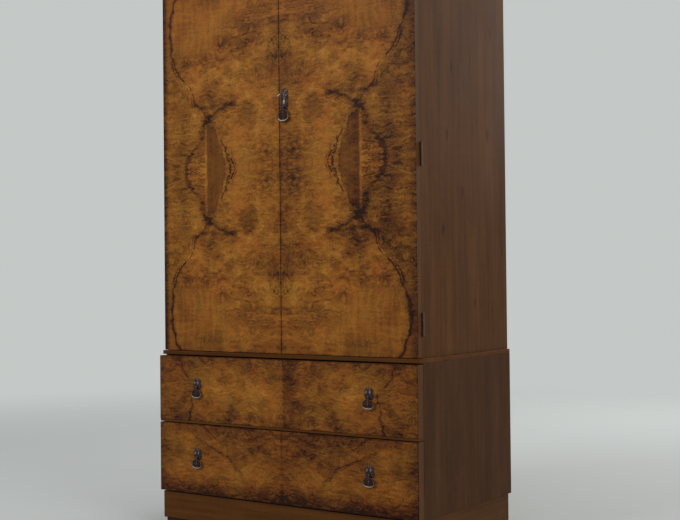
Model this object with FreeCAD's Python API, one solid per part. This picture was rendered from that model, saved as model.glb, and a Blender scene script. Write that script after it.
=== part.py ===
import FreeCAD, Part
import os

# A tallboy: a two-door cupboard standing on a two-drawer base with a plinth.
# +X is the object's own right seen from the front, +Y runs to the back, +Z is up.
# The origin is on the floor, in the middle of the overall width and depth. Millimetres.

# Overall body
lower_width = 762.0
upper_setback = 6.5
upper_depth = 403.7
lower_depth = 410.5
board = 16.0
overrun = 2.0

# Doors and drawer fronts, which lie over the front edges of the carcasses
door_thickness = 17.0
door_height = 896.0
door_foot_gap = 1.5
door_head_gap = 2.0
hinge_gap = 0.8
seam_offset = -2.0
seam_gap = 2.0
drawer_front_thickness = 24.2
front_gap = 0.4
top_front_height = 165.0
between_fronts = 2.0
front_foot_gap = 3.0
front_head_gap = 3.0
front_end_margin = 0.5
bead_height = 5.5
bead_recess = 1.0

# Plinth and feet
foot_height = 23.0
foot_inset = 5.0
foot_size = 62.0
plinth_height = 66.0
plinth_board = 18.0
plinth_inset = 5.5
plinth_lead = 18.2
corner_block = 38.0

# Lower carcass
lower_side_height = 344.0
ledge_thickness = 9.5
ledge_overhang = 12.3
divider_height = 16.0
divider_width = 60.0
runner_width = 22.0
panel_thickness = 5.0
panel_rebate = 7.0

# Upper carcass
bottom_board_thickness = 15.0
top_thickness = 18.0
top_side_overhang = 3.0
top_front_overhang = 3.0
top_edge_round = 4.0
shelf_thickness = 14.0
shelf_setback = 24.0
shelf_end_gap = 0.5
shelf_height_shares = (0.34, 0.67)
bearer_width = 12.0
bearer_height = 20.0
bearer_front_inset = 20.0

# Drawer boxes
drawer_side = 11.0
drawer_back_thickness = 10.0
drawer_side_gap = 1.0
drawer_top_clearance = 8.0
drawer_rest_gap = 0.2
drawer_rear_clearance = 12.0
drawer_bottom_thickness = 4.5
drawer_groove_height = 9.0
drawer_groove_depth = 5.0
housing_depth = 9.0
housing_flare = 1.5
tail_count = 4
tail_slope = 1.8

# Butt hinges, three to a door
hinge_length = 50.8
hinge_leaf = 1.4
hinge_leaf_width = 13.0
knuckle_radius = 3.2
knuckle_clearance = 0.3
knuckle_segments = 5
knuckle_end_gap = 0.15
pin_radius = 1.3
pin_running_gap = 0.06
pin_head = 0.8
hinge_end_inset = 73.0
leaf_screw_count = 3

# Screws and bolts
screw_head_radius = 2.9
screw_head_height = 1.3
screw_shank_radius = 1.4
screw_length = 12.0
screw_fit = 0.05
join_screw_head_radius = 4.0
join_screw_head_height = 2.2
join_screw_shank_radius = 2.2
join_screw_length = 20.0
join_screw_inset = 60.0

# Pull handles: a leaf-topped plate, a boss with two lugs and a drop ring
plate_thickness = 1.8
pivot_standoff = 6.0
lug_radius = 2.7
lug_width = 1.8
lug_gap = 4.4
trunnion_radius = 1.3
trunnion_gap = 0.08
eye_radius = 2.2
eye_end_gap = 0.3
ring_wire = 1.6
ring_rise_gap = 0.5
stem_radius = 1.3
stem_sink = 0.8
ear_radius = 2.6
ear_share_x = 0.27
ear_share_z = 0.72
boss_radius = 3.6
ring_width = 32.0
drawer_plate_width = 22.0
drawer_plate_above = 20.5
drawer_plate_below = 7.0
drawer_ring_drop = 28.5
drawer_handle_inset = 127.0
drawer_pivot_rise = 6.0
door_plate_width = 24.0
door_plate_above = 45.0
door_plate_below = 8.0
door_ring_drop = 34.0
door_handle_inset = 15.0
door_handle_height = 580.8
door_leaf_reach = 13.5
door_leaf_radius = 1.5
door_leaf_rise = 27.0
handle_bolt_radius = 2.0
handle_nut_radius = 4.5
handle_nut_height = 3.5
handle_bolt_tail = 3.0
leaf_outline_shares = (
    (0.00, 1.00), (0.20, 0.90), (0.50, 0.72), (0.36, 0.52), (0.30, 0.38), (0.46, 0.20), (0.28, 0.04),
)

# Barrel bolts of the left door
bolt_plate_height = 56.0
bolt_plate_width = 22.0
bolt_plate_thickness = 1.5
bolt_barrel_width = 11.0
bolt_barrel_height = 40.0
bolt_barrel_depth = 10.0
bolt_rod_radius = 3.2
bolt_running_gap = 0.08
bolt_rod_end_gap = 3.0
bolt_travel = 14.0
bolt_knob_radius = 1.8
bolt_knob_length = 7.0
bolt_slot_gap = 0.5
bolt_seam_inset = 20.0
bolt_head_inset = 4.0
keep_thickness = 1.2
keep_width = 20.0
keep_depth = 10.0
keep_hole_gap = 0.6

# Ball catch of the right door
catch_radius = 4.5
catch_length = 15.0
catch_ball_radius = 3.0
catch_ball_proud = 1.2
catch_ball_gap = 0.1
catch_spring_room = 7.0
catch_seam_inset = 30.0
catch_plate_width = 24.0
catch_plate_depth = 10.0
catch_plate_thickness = 1.0
catch_dimple_radius = 5.0
catch_dimple_depth = 0.5

# Heights that follow
plinth_top = foot_height + plinth_height
ledge_bottom = plinth_top + lower_side_height
ledge_top = ledge_bottom + ledge_thickness
door_foot = ledge_top + door_foot_gap
door_head = door_foot + door_height
top_bottom = door_head + door_head_gap
top_top = top_bottom + top_thickness
bottom_board_top = ledge_top + bottom_board_thickness
fronts_foot = plinth_top + front_foot_gap
top_front_head = ledge_bottom - front_head_gap
top_front_foot = top_front_head - top_front_height
bottom_front_head = top_front_foot - between_fronts
divider_middle = (top_front_foot + bottom_front_head) / 2
divider_foot = divider_middle - divider_height / 2
divider_head = divider_middle + divider_height / 2
lower_floor = plinth_top + board

# Widths that follow
half_lower = lower_width / 2
half_upper = half_lower - upper_setback
half_plinth = half_lower - plinth_inset
lower_inside = half_lower - board
upper_inside = half_upper - board
left_door_edge = seam_offset - seam_gap / 2
right_door_edge = seam_offset + seam_gap / 2
half_box = lower_inside - drawer_side_gap
drawer_handle_x = half_lower - drawer_handle_inset

# Depths that follow
front_reach = pivot_standoff + lug_radius
overall_depth = front_reach + drawer_front_thickness + front_gap + lower_depth
back_y = overall_depth / 2
lower_front_y = back_y - lower_depth
drawer_back_y = lower_front_y - front_gap
drawer_face_y = drawer_back_y - drawer_front_thickness
upper_front_y = back_y - upper_depth
door_back_y = upper_front_y - hinge_gap
door_face_y = door_back_y - door_thickness
panel_front_y = back_y - panel_thickness
plinth_front_y = lower_front_y - plinth_lead
plinth_back_y = back_y - plinth_inset
box_back_y = panel_front_y - drawer_rear_clearance
shelf_front_y = upper_front_y + shelf_setback

# Hinge axis, just outside the side and midway between door and carcass
hinge_x = half_upper + knuckle_radius + knuckle_clearance
hinge_y = upper_front_y - hinge_gap / 2
hinge_heights = (
    door_foot + hinge_end_inset,
    door_foot + door_height / 2,
    door_head - hinge_end_inset,
)


def block(x0, x1, y0, y1, z0, z1):
    """A box between two corners."""
    low = FreeCAD.Vector(min(x0, x1), min(y0, y1), min(z0, z1))
    return Part.makeBox(abs(x1 - x0), abs(y1 - y0), abs(z1 - z0), low)


def rod(radius, start, end):
    """A round bar from one point to another."""
    a = FreeCAD.Vector(*start)
    b = FreeCAD.Vector(*end)
    return Part.makeCylinder(radius, (b - a).Length, a, b - a)


def ball(radius, centre):
    return Part.makeSphere(radius, FreeCAD.Vector(*centre))


def fuse(shapes):
    """One solid from shapes that overlap."""
    return shapes[0].multiFuse(shapes[1:]).removeSplitter() if len(shapes) > 1 else shapes[0]


def mirrored(shape):
    """The same piece on the other side of the middle plane."""
    return shape.mirror(FreeCAD.Vector(0, 0, 0), FreeCAD.Vector(1, 0, 0))


def save(name, shapes):
    """Write one node, a single solid or a group of separate ones."""
    group = list(shapes) if isinstance(shapes, (list, tuple)) else [shapes]
    solids = [solid for shape in group for solid in shape.Solids]
    body = solids[0] if len(solids) == 1 else Part.makeCompound(solids)
    body.exportStep("parts/" + name + ".step")


def countersunk(head_radius, head_height, shank_radius, length, at, way):
    """A countersunk screw whose flat head is at a point and whose shank runs along way."""
    start = FreeCAD.Vector(*at)
    direction = FreeCAD.Vector(*way)
    head = Part.makeCone(head_radius, shank_radius, head_height, start, direction)
    shank = Part.makeCylinder(shank_radius, length, start, direction)
    return head.fuse(shank).removeSplitter()


def small_screw(at, way, grow=0):
    """A hinge screw, or the hole for one where grow widens it."""
    return countersunk(
        screw_head_radius + grow, screw_head_height, screw_shank_radius + grow, screw_length + grow, at, way
    )


def join_screw(at, way, grow=0):
    return countersunk(
        join_screw_head_radius + grow, join_screw_head_height,
        join_screw_shank_radius + grow, join_screw_length + grow, at, way,
    )


# Plinth

def plinth_pieces():
    """Front board across the whole width, side boards behind it, a back rail between the sides."""
    front_back_y = plinth_front_y + plinth_board
    front = block(-half_plinth, half_plinth, plinth_front_y, front_back_y, foot_height, plinth_top)
    side = block(half_plinth - plinth_board, half_plinth, front_back_y, plinth_back_y, foot_height, plinth_top)
    inside = half_plinth - plinth_board
    back = block(-inside, inside, plinth_back_y - plinth_board, plinth_back_y, foot_height, plinth_top)
    return front, side, back


def foot_blocks():
    """A foot at each corner, with a glue block above it in the angle of the plinth."""
    front_back_y = plinth_front_y + plinth_board
    inside = half_plinth - plinth_board
    rear_face = plinth_back_y - plinth_board
    feet = []
    outer = half_plinth - foot_inset
    for near, step, inner_face in (
        (plinth_front_y + foot_inset, 1, front_back_y), (plinth_back_y - foot_inset, -1, rear_face)
    ):
        foot = block(outer - foot_size, outer, near, near + step * foot_size, 0, foot_height)
        glue = block(
            inside - corner_block, inside, inner_face, inner_face + step * corner_block, foot_height, plinth_top
        )
        right = fuse([foot, glue])
        feet += [right, mirrored(right)]
    return feet


# Lower carcass

def lower_side():
    """The right side, with a rebate behind for the back panel."""
    side = block(lower_inside, half_lower, lower_front_y, back_y, plinth_top, ledge_bottom)
    rebate = block(
        lower_inside - overrun, lower_inside + panel_rebate, panel_front_y, back_y + overrun,
        plinth_top - overrun, ledge_bottom + overrun,
    )
    return side.cut(rebate)


def lower_bottom_board():
    return block(-lower_inside, lower_inside, lower_front_y, panel_front_y, plinth_top, lower_floor)


def ledge_board():
    """The thin board that tops the lower carcass and shows as a ledge round the upper one."""
    front = lower_front_y - ledge_overhang
    plain = block(-half_lower, half_lower, front, back_y, ledge_bottom, ledge_top)
    holes = [join_screw(at, (0, 0, 1), screw_fit) for at in joining_points()]
    seat = catch_plate_block()
    return plain.cut(Part.makeCompound(holes + [seat]))


def back_panel(half_inside, foot, head):
    half = half_inside + panel_rebate
    return block(-half, half, panel_front_y, back_y, foot, head)


def divider_rail():
    return block(
        -lower_inside, lower_inside, lower_front_y, lower_front_y + divider_width, divider_foot, divider_head
    )


def drawer_runners():
    """The two runners that carry the top drawer behind the divider rail."""
    start = lower_front_y + divider_width
    right = block(lower_inside - runner_width, lower_inside, start, panel_front_y, divider_foot, divider_head)
    return [right, mirrored(right)]


def joining_points():
    """Screw heads under the ledge, near the corners of the upper bottom board."""
    x = upper_inside - join_screw_inset
    ys = (upper_front_y + join_screw_inset, panel_front_y - join_screw_inset)
    return [(side * x, y, ledge_bottom) for side in (1, -1) for y in ys]


# Upper carcass

def upper_side():
    """The right side, rebated for the back panel and let in for the hinge leaves."""
    side = block(upper_inside, half_upper, upper_front_y, back_y, ledge_top, top_bottom)
    rebate = block(
        upper_inside - overrun, upper_inside + panel_rebate, panel_front_y, back_y + overrun,
        ledge_top - overrun, top_bottom + overrun,
    )
    lets = [leaf_seat(height, 1) for height in hinge_heights]
    holes = [small_screw(at, (0, 1, 0), screw_fit) for at in leaf_screw_points(1)]
    return side.cut(Part.makeCompound([rebate] + lets)).cut(Part.makeCompound(holes))


def upper_bottom_board():
    plain = block(-upper_inside, upper_inside, upper_front_y, panel_front_y, ledge_top, bottom_board_top)
    holes = [join_screw(at, (0, 0, 1), screw_fit) for at in joining_points()]
    return plain.cut(Part.makeCompound(holes + [keep_seat(1), keep_hole(1)]))


def upper_top_board():
    """The top, over the sides and the doors, with its front and end edges rounded."""
    half = half_upper + top_side_overhang
    front = door_face_y - top_front_overhang
    plain = block(-half, half, front, back_y, top_bottom, top_top)
    edges = [
        edge for edge in plain.Edges
        if edge.BoundBox.ZMin > top_top - overrun and not (
            edge.BoundBox.YMin > back_y - overrun and edge.BoundBox.XLength > half
        )
    ]
    rounded = plain.makeFillet(top_edge_round, edges)
    return rounded.cut(Part.makeCompound([keep_seat(-1), keep_hole(-1)]))


def shelf_heights():
    clear = top_bottom - bottom_board_top
    return [bottom_board_top + clear * share for share in shelf_height_shares]


def shelf(height):
    half = upper_inside - shelf_end_gap
    return block(-half, half, shelf_front_y, panel_front_y, height, height + shelf_thickness)


def shelf_bearers():
    """A bearer under each end of each shelf."""
    front = shelf_front_y + bearer_front_inset
    bearers = []
    for height in shelf_heights():
        right = block(upper_inside - bearer_width, upper_inside, front, panel_front_y, height - bearer_height, height)
        bearers += [right, mirrored(right)]
    return bearers


# Hinges. Side 1 is the carcass leaf, side -1 the leaf on the door

def leaf_plate(height, side, grow=0):
    """The flat of a leaf, let in flush with the face it is screwed to."""
    face = upper_front_y if side == 1 else door_back_y
    outer = hinge_x - knuckle_radius - knuckle_clearance
    return block(
        outer - hinge_leaf_width, outer + grow, face, face + side * hinge_leaf,
        height - hinge_length / 2, height + hinge_length / 2,
    )


def leaf_seat(height, side):
    return leaf_plate(height, side, overrun)


def leaf_screw_points(side):
    face = upper_front_y if side == 1 else door_back_y
    middle = hinge_x - knuckle_radius - knuckle_clearance - hinge_leaf_width / 2
    step = hinge_length / leaf_screw_count
    points = []
    for height in hinge_heights:
        for index in range(leaf_screw_count):
            points.append((middle, face, height + (index - (leaf_screw_count - 1) / 2) * step))
    return points


def hinge_leaf_solid(height, side):
    """A leaf with its own knuckles: the carcass leaf has the end ones, the door leaf those between."""
    face = upper_front_y if side == 1 else door_back_y
    segment = hinge_length / knuckle_segments
    foot = height - hinge_length / 2
    solid = [leaf_plate(height, side)]
    first = 0 if side == 1 else 1
    for index in range(first, knuckle_segments, 2):
        low = foot + index * segment + (knuckle_end_gap if index > 0 else 0)
        high = foot + (index + 1) * segment - (knuckle_end_gap if index < knuckle_segments - 1 else 0)
        solid.append(rod(knuckle_radius, (hinge_x, hinge_y, low), (hinge_x, hinge_y, high)))
        solid.append(block(
            half_upper - hinge_leaf, hinge_x, face, face + side * hinge_leaf, low, high
        ))
    bore = rod(
        pin_radius + pin_running_gap,
        (hinge_x, hinge_y, foot - overrun), (hinge_x, hinge_y, foot + hinge_length + overrun),
    )
    holes = [small_screw(at, (0, side, 0), screw_fit) for at in leaf_screw_points(side)]
    return fuse(solid).cut(Part.makeCompound([bore])).cut(Part.makeCompound(holes))


def hinge_pin(height):
    """A loose pin with a thin head at each end of the knuckles."""
    foot = height - hinge_length / 2
    head = height + hinge_length / 2
    shaft = rod(pin_radius, (hinge_x, hinge_y, foot), (hinge_x, hinge_y, head))
    cap = rod(knuckle_radius, (hinge_x, hinge_y, head), (hinge_x, hinge_y, head + pin_head))
    base = rod(knuckle_radius, (hinge_x, hinge_y, foot - pin_head), (hinge_x, hinge_y, foot))
    return fuse([shaft, cap, base])


def leaf_screws(side):
    return [small_screw(at, (0, side, 0)) for at in leaf_screw_points(side)]


# Doors

def door_slab(edge, half, hollows):
    """A flat door from its free edge to the side of the carcass, with the given hollows cut in it."""
    slab = block(edge, half, door_face_y, door_back_y, door_foot, door_head)
    return slab.cut(Part.makeCompound(hollows))


def right_door_panel():
    lets = [leaf_seat(height, -1) for height in hinge_heights]
    holes = [small_screw(at, (0, -1, 0), screw_fit) for at in leaf_screw_points(-1)]
    x, z = door_handle_place()
    handle = rod(handle_bolt_radius + screw_fit, (x, door_face_y - overrun, z), (x, door_back_y + overrun, z))
    slab = door_slab(right_door_edge, half_upper, lets + [handle, catch_hole()])
    return slab.cut(Part.makeCompound(holes))


def left_door_panel():
    lets = [mirrored(leaf_seat(height, -1)) for height in hinge_heights]
    holes = [mirrored(small_screw(at, (0, -1, 0), screw_fit)) for at in leaf_screw_points(-1)]
    slab = door_slab(-half_upper, left_door_edge, lets)
    return slab.cut(Part.makeCompound(holes))


# Barrel bolts on the left door. Way 1 is the upper bolt, which shoots up, way -1 the lower one

def bolt_x():
    return left_door_edge - bolt_seam_inset


def bolt_y():
    return door_back_y + bolt_plate_thickness + bolt_barrel_depth / 2


def bolt_end(way):
    """The height of the keep's face, where the shot bolt goes in."""
    return top_bottom if way == 1 else bottom_board_top


def bolt_base(way):
    return bolt_end(way) - way * bolt_head_inset


def bolt_housing(way):
    """A plate with a barrel on it, bored for the rod and slotted behind for its knob."""
    end = bolt_base(way)
    plate = block(
        bolt_x() - bolt_plate_width / 2, bolt_x() + bolt_plate_width / 2,
        door_back_y, door_back_y + bolt_plate_thickness, end, end - way * bolt_plate_height,
    )
    barrel_end = end - way * bolt_rod_end_gap
    barrel_start = barrel_end - way * bolt_barrel_height
    rear = door_back_y + bolt_plate_thickness + bolt_barrel_depth
    barrel = block(
        bolt_x() - bolt_barrel_width / 2, bolt_x() + bolt_barrel_width / 2,
        door_back_y, rear, barrel_end, barrel_start,
    )
    bore = rod(
        bolt_rod_radius + bolt_running_gap,
        (bolt_x(), bolt_y(), barrel_start - way * overrun), (bolt_x(), bolt_y(), barrel_end + way * overrun),
    )
    middle = (barrel_end + barrel_start) / 2
    half_slot = bolt_travel / 2 + bolt_knob_radius + bolt_slot_gap
    half_width = bolt_knob_radius + bolt_slot_gap
    slot = block(
        bolt_x() - half_width, bolt_x() + half_width, bolt_y(), rear + overrun, middle - half_slot, middle + half_slot
    )
    return fuse([plate, barrel]).cut(Part.makeCompound([bore])).cut(Part.makeCompound([slot]))


def bolt_rod(way):
    """The rod drawn back, with its knob at the near end of the slot."""
    end = bolt_base(way)
    barrel_end = end - way * bolt_rod_end_gap
    middle = barrel_end - way * bolt_barrel_height / 2
    knob = middle - way * bolt_travel / 2
    start = barrel_end - way * (bolt_barrel_height - bolt_slot_gap)
    shaft = rod(bolt_rod_radius, (bolt_x(), bolt_y(), start), (bolt_x(), bolt_y(), end))
    stub = rod(bolt_knob_radius, (bolt_x(), bolt_y(), knob), (bolt_x(), bolt_y() + bolt_knob_length, knob))
    return fuse([shaft, stub])


def keep_seat(way):
    """The recess for a keep plate: way 1 in the bottom board's top, -1 in the top board's underside."""
    face = bottom_board_top if way == 1 else top_bottom
    return block(
        bolt_x() - keep_width / 2, bolt_x() + keep_width / 2,
        bolt_y() - keep_depth / 2, bolt_y() + keep_depth / 2, face, face - way * keep_thickness,
    )


def keep_hole(way):
    face = bottom_board_top if way == 1 else top_bottom
    reach = bolt_travel - bolt_head_inset + keep_hole_gap
    return rod(
        bolt_rod_radius + keep_hole_gap,
        (bolt_x(), bolt_y(), face + way * overrun), (bolt_x(), bolt_y(), face - way * reach),
    )


def bolt_keeps():
    return [keep_seat(way).cut(keep_hole(way)) for way in (1, -1)]


# Ball catch of the right door

def catch_place():
    return right_door_edge + catch_seam_inset, (door_face_y + door_back_y) / 2


def catch_hole():
    x, y = catch_place()
    return rod(catch_radius + screw_fit, (x, y, door_foot - overrun), (x, y, door_foot + catch_length))


def catch_ball_centre():
    x, y = catch_place()
    return x, y, door_foot + catch_ball_radius - catch_ball_proud


def catch_case():
    """A brass case in the foot of the door, hollow for the ball and the spring behind it."""
    x, y, z = catch_ball_centre()
    case = rod(catch_radius, (x, y, door_foot), (x, y, door_foot + catch_length))
    room = catch_ball_radius + catch_ball_gap
    chamber = rod(room, (x, y, z), (x, y, z + catch_spring_room))
    return case.cut(Part.makeCompound([ball(room, (x, y, z))])).cut(chamber)


def catch_ball():
    return ball(catch_ball_radius, catch_ball_centre())


def catch_plate_block():
    x, y = catch_place()
    return block(
        x - catch_plate_width / 2, x + catch_plate_width / 2,
        y - catch_plate_depth / 2, y + catch_plate_depth / 2, ledge_top - catch_plate_thickness, ledge_top,
    )


def catch_plate():
    x, y = catch_place()
    dimple = ball(catch_dimple_radius, (x, y, ledge_top + catch_dimple_radius - catch_dimple_depth))
    return catch_plate_block().cut(dimple)


# Handles. Each is placed by its pivot: x, the face it sits on, and the pivot's height

def leaf_face(width, above, below, x, y, z):
    """A pointed leaf with two ears above a waist, symmetric about its stem."""
    height = above + below
    right = [
        FreeCAD.Vector(x + share_x * width, y, z - below + share_z * height)
        for share_x, share_z in leaf_outline_shares
    ]
    left = [FreeCAD.Vector(2 * x - point.x, point.y, point.z) for point in reversed(right[1:])]
    side = Part.BSplineCurve()
    side.interpolate(right)
    other = Part.BSplineCurve()
    other.interpolate(left + [right[0]])
    foot = Part.LineSegment(right[-1], left[0])
    return Part.Face(Part.Wire([side.toShape(), foot.toShape(), other.toShape()]))


def handle_plate(width, above, below, x, face, z):
    """The backplate with its ears, boss and the two lugs that hold the ring's trunnions."""
    plate = leaf_face(width, above, below, x, face, z).extrude(FreeCAD.Vector(0, -plate_thickness, 0))
    front = face - plate_thickness
    height = above + below
    ears = [
        ball(ear_radius, (x + side * ear_share_x * width, front, z - below + ear_share_z * height))
        for side in (1, -1)
    ]
    pivot = face - pivot_standoff
    lugs = []
    for side in (1, -1):
        inner = x + side * lug_gap / 2
        outer = inner + side * lug_width
        lugs.append(rod(lug_radius, (inner, pivot, z), (outer, pivot, z)))
        lugs.append(block(inner, outer, pivot, front + plate_thickness / 2, z - lug_radius, z + lug_radius))
    boss = ball(boss_radius, (x, front, z + lug_radius + boss_radius))
    hollow = rod(
        trunnion_radius + trunnion_gap,
        (x - lug_gap, pivot, z), (x + lug_gap, pivot, z),
    )
    behind = block(
        x - width, x + width, face, face + 2 * boss_radius, z - below - overrun, z + above + overrun
    )
    return fuse([plate, boss] + ears + lugs).cut(Part.makeCompound([hollow, behind]))


def drop_ring(drop, x, face, z):
    """An oval ring hanging from its eye, with a stem down its middle and a trunnion each side."""
    pivot = face - pivot_standoff
    top = z - lug_radius - ring_rise_gap - ring_wire
    foot = z - drop + ring_wire
    middle = (top + foot) / 2
    rise = (top - foot) / 2
    half = ring_width / 2 - ring_wire
    nearest = min(rise, half)
    longest = max(rise, half)
    path = Part.Wire([
        Part.Ellipse(FreeCAD.Vector(x, pivot, middle), longest, nearest).toShape()
    ])
    path.rotate(FreeCAD.Vector(x, pivot, middle), FreeCAD.Vector(1, 0, 0), 90)
    if rise > half:
        path.rotate(FreeCAD.Vector(x, pivot, middle), FreeCAD.Vector(0, 1, 0), 90)
    start = path.Edges[0].valueAt(path.Edges[0].FirstParameter)
    tangent = path.Edges[0].tangentAt(path.Edges[0].FirstParameter)
    profile = Part.Wire([Part.Circle(start, tangent, ring_wire).toShape()])
    hoop = path.makePipeShell([profile], True, False)
    eye = rod(
        eye_radius,
        (x - lug_gap / 2 + eye_end_gap, pivot, z), (x + lug_gap / 2 - eye_end_gap, pivot, z),
    )
    trunnion = rod(
        trunnion_radius, (x - lug_gap / 2 - lug_width, pivot, z), (x + lug_gap / 2 + lug_width, pivot, z)
    )
    stem = rod(stem_radius, (x, pivot, z - eye_radius + stem_sink), (x, pivot, foot))
    return fuse([hoop, eye, trunnion, stem])


def handle_bolt(x, face, z, thickness):
    """A bolt from the plate through the wood, with a round nut behind it."""
    back = face + thickness
    shank = rod(handle_bolt_radius, (x, face, z), (x, back + handle_nut_height + handle_bolt_tail, z))
    nut = rod(handle_nut_radius, (x, back, z), (x, back + handle_nut_height, z))
    return fuse([shank, nut])


def door_handle_place():
    return right_door_edge + door_handle_inset, door_foot + door_handle_height


def door_handle_plate():
    """The taller plate of the door, whose upper left leaf curls out towards the seam."""
    x, z = door_handle_place()
    plate = handle_plate(door_plate_width, door_plate_above, door_plate_below, x, door_face_y, z)
    front = door_face_y - plate_thickness
    tip = (x - door_leaf_reach, front - pivot_standoff, z + door_leaf_rise)
    curl = rod(door_leaf_radius, (x, front, z + door_leaf_rise), tip)
    return fuse([plate, curl, ball(door_leaf_radius, tip)])


def drawer_pivots(foot, head):
    """The two pivots on a drawer front."""
    z = (foot + head) / 2 + drawer_pivot_rise
    return [(-drawer_handle_x, z), (drawer_handle_x, z)]


# Drawers

def half_end():
    return half_lower - front_end_margin


def housing(x_sign, foot, head):
    """The dovetailed key by which a drawer side slides into the back of the front."""
    outer = half_box
    inner = half_box - drawer_side
    points = [
        (outer - housing_flare, drawer_back_y), (outer, drawer_back_y - housing_depth),
        (inner, drawer_back_y - housing_depth), (inner + housing_flare, drawer_back_y),
    ]
    wire = Part.makePolygon([FreeCAD.Vector(x_sign * x, y, foot) for x, y in points + points[:1]])
    return Part.Face(wire).extrude(FreeCAD.Vector(0, 0, head - foot))


def tails(foot, head):
    """The tails on a drawer side's rear end, as wedges across the thickness of the back."""
    pitch = (head - foot) / tail_count
    wedges = []
    for index in range(tail_count):
        middle = foot + (index + 1 / 2) * pitch
        narrow = pitch / 4
        wide = narrow + tail_slope
        near = box_back_y - drawer_back_thickness
        points = [
            (near, middle - narrow), (box_back_y, middle - wide),
            (box_back_y, middle + wide), (near, middle + narrow),
        ]
        wire = Part.makePolygon([
            FreeCAD.Vector(half_box - drawer_side, y, z) for y, z in points + points[:1]
        ])
        wedges.append(Part.Face(wire).extrude(FreeCAD.Vector(drawer_side, 0, 0)))
    return wedges


def bottom_slab(foot):
    """The drawer bottom, held in grooves on three sides and running under the back."""
    half = half_box - drawer_side + drawer_groove_depth
    low = foot + drawer_groove_height
    return block(
        -half, half, drawer_back_y - drawer_groove_depth, box_back_y, low, low + drawer_bottom_thickness
    )


def drawer_side_right(foot, head):
    near = box_back_y - drawer_back_thickness
    side = block(half_box - drawer_side, half_box, drawer_back_y, near, foot, head)
    back_foot = foot + drawer_groove_height + drawer_bottom_thickness
    under = block(half_box - drawer_side, half_box, near, box_back_y, foot, back_foot)
    whole = fuse([side, housing(1, foot, head), under] + tails(back_foot, head))
    return whole.cut(bottom_slab(foot))


def drawer_back(foot, head):
    low = foot + drawer_groove_height + drawer_bottom_thickness
    plain = block(-half_box, half_box, box_back_y - drawer_back_thickness, box_back_y, low, head)
    wedges = tails(low, head)
    return plain.cut(Part.makeCompound(wedges + [mirrored(wedge) for wedge in wedges]))


def drawer_front(foot, head, box_foot, box_head):
    """The veneered front, housed behind for the sides and the bottom, bored for two handle bolts."""
    plain = block(-half_end(), half_end(), drawer_face_y, drawer_back_y, foot, head)
    bores = [
        rod(handle_bolt_radius + screw_fit, (x, drawer_face_y - overrun, z), (x, drawer_back_y + overrun, z))
        for x, z in drawer_pivots(foot, head)
    ]
    keys = [housing(1, box_foot, box_head), housing(-1, box_foot, box_head)]
    return plain.cut(Part.makeCompound(keys)).cut(Part.makeCompound([bottom_slab(box_foot)])).cut(
        Part.makeCompound(bores)
    )


def write_drawer(name, foot, head, box_foot, box_head):
    """All the pieces of one drawer."""
    side = drawer_side_right(box_foot, box_head)
    save(name + "_front", drawer_front(foot, head, box_foot, box_head))
    save(name + "_side_right", side)
    save(name + "_side_left", mirrored(side))
    save(name + "_back", drawer_back(box_foot, box_head))
    save(name + "_bottom", bottom_slab(box_foot))
    pivots = drawer_pivots(foot, head)
    save(name + "_handle_plates", [
        handle_plate(drawer_plate_width, drawer_plate_above, drawer_plate_below, x, drawer_face_y, z)
        for x, z in pivots
    ])
    save(name + "_handle_bolts", [handle_bolt(x, drawer_face_y, z, drawer_front_thickness) for x, z in pivots])
    for label, (x, z) in zip(("left", "right"), pivots):
        save(name + "_" + label + "_ring", drop_ring(drawer_ring_drop, x, drawer_face_y, z))


def top_drawer_bead():
    """The thin moulding along the foot of the top drawer's front."""
    return block(
        -half_end(), half_end(), drawer_face_y + bead_recess, drawer_back_y,
        top_front_foot, top_front_foot + bead_height,
    )


def write_plinth():
    front, side, back = plinth_pieces()
    save("plinth_front", front)
    save("plinth_side_right", side)
    save("plinth_side_left", mirrored(side))
    save("plinth_back_rail", back)
    save("foot_blocks", foot_blocks())


def write_lower_carcass():
    save("lower_side_right", lower_side())
    save("lower_side_left", mirrored(lower_side()))
    save("lower_bottom_board", lower_bottom_board())
    save("lower_top_board", ledge_board())
    save("lower_back_panel", back_panel(lower_inside, plinth_top, ledge_bottom))
    save("drawer_divider_rail", divider_rail())
    save("drawer_runners", drawer_runners())
    save("carcass_joining_screws", [join_screw(at, (0, 0, 1)) for at in joining_points()])


def write_upper_carcass():
    save("upper_side_right", upper_side())
    save("upper_side_left", mirrored(upper_side()))
    save("upper_bottom_board", upper_bottom_board())
    save("upper_top_board", upper_top_board())
    save("upper_back_panel", back_panel(upper_inside, ledge_top, top_bottom))
    for name, height in zip(("lower_shelf", "upper_shelf"), shelf_heights()):
        save(name, shelf(height))
    save("shelf_bearers", shelf_bearers())


def write_hinges():
    leaves = [hinge_leaf_solid(height, 1) for height in hinge_heights]
    door_leaves = [hinge_leaf_solid(height, -1) for height in hinge_heights]
    pins = [hinge_pin(height) for height in hinge_heights]
    screws = leaf_screws(1)
    save("right_hinge_carcass_leaves", leaves)
    save("left_hinge_carcass_leaves", [mirrored(leaf) for leaf in leaves])
    save("hinge_pins", pins + [mirrored(pin) for pin in pins])
    save("carcass_hinge_screws", screws + [mirrored(screw) for screw in screws])
    save("right_door_hinge_leaves", door_leaves)
    save("left_door_hinge_leaves", [mirrored(leaf) for leaf in door_leaves])
    save("right_door_hinge_screws", leaf_screws(-1))
    save("left_door_hinge_screws", [mirrored(screw) for screw in leaf_screws(-1)])


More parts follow.
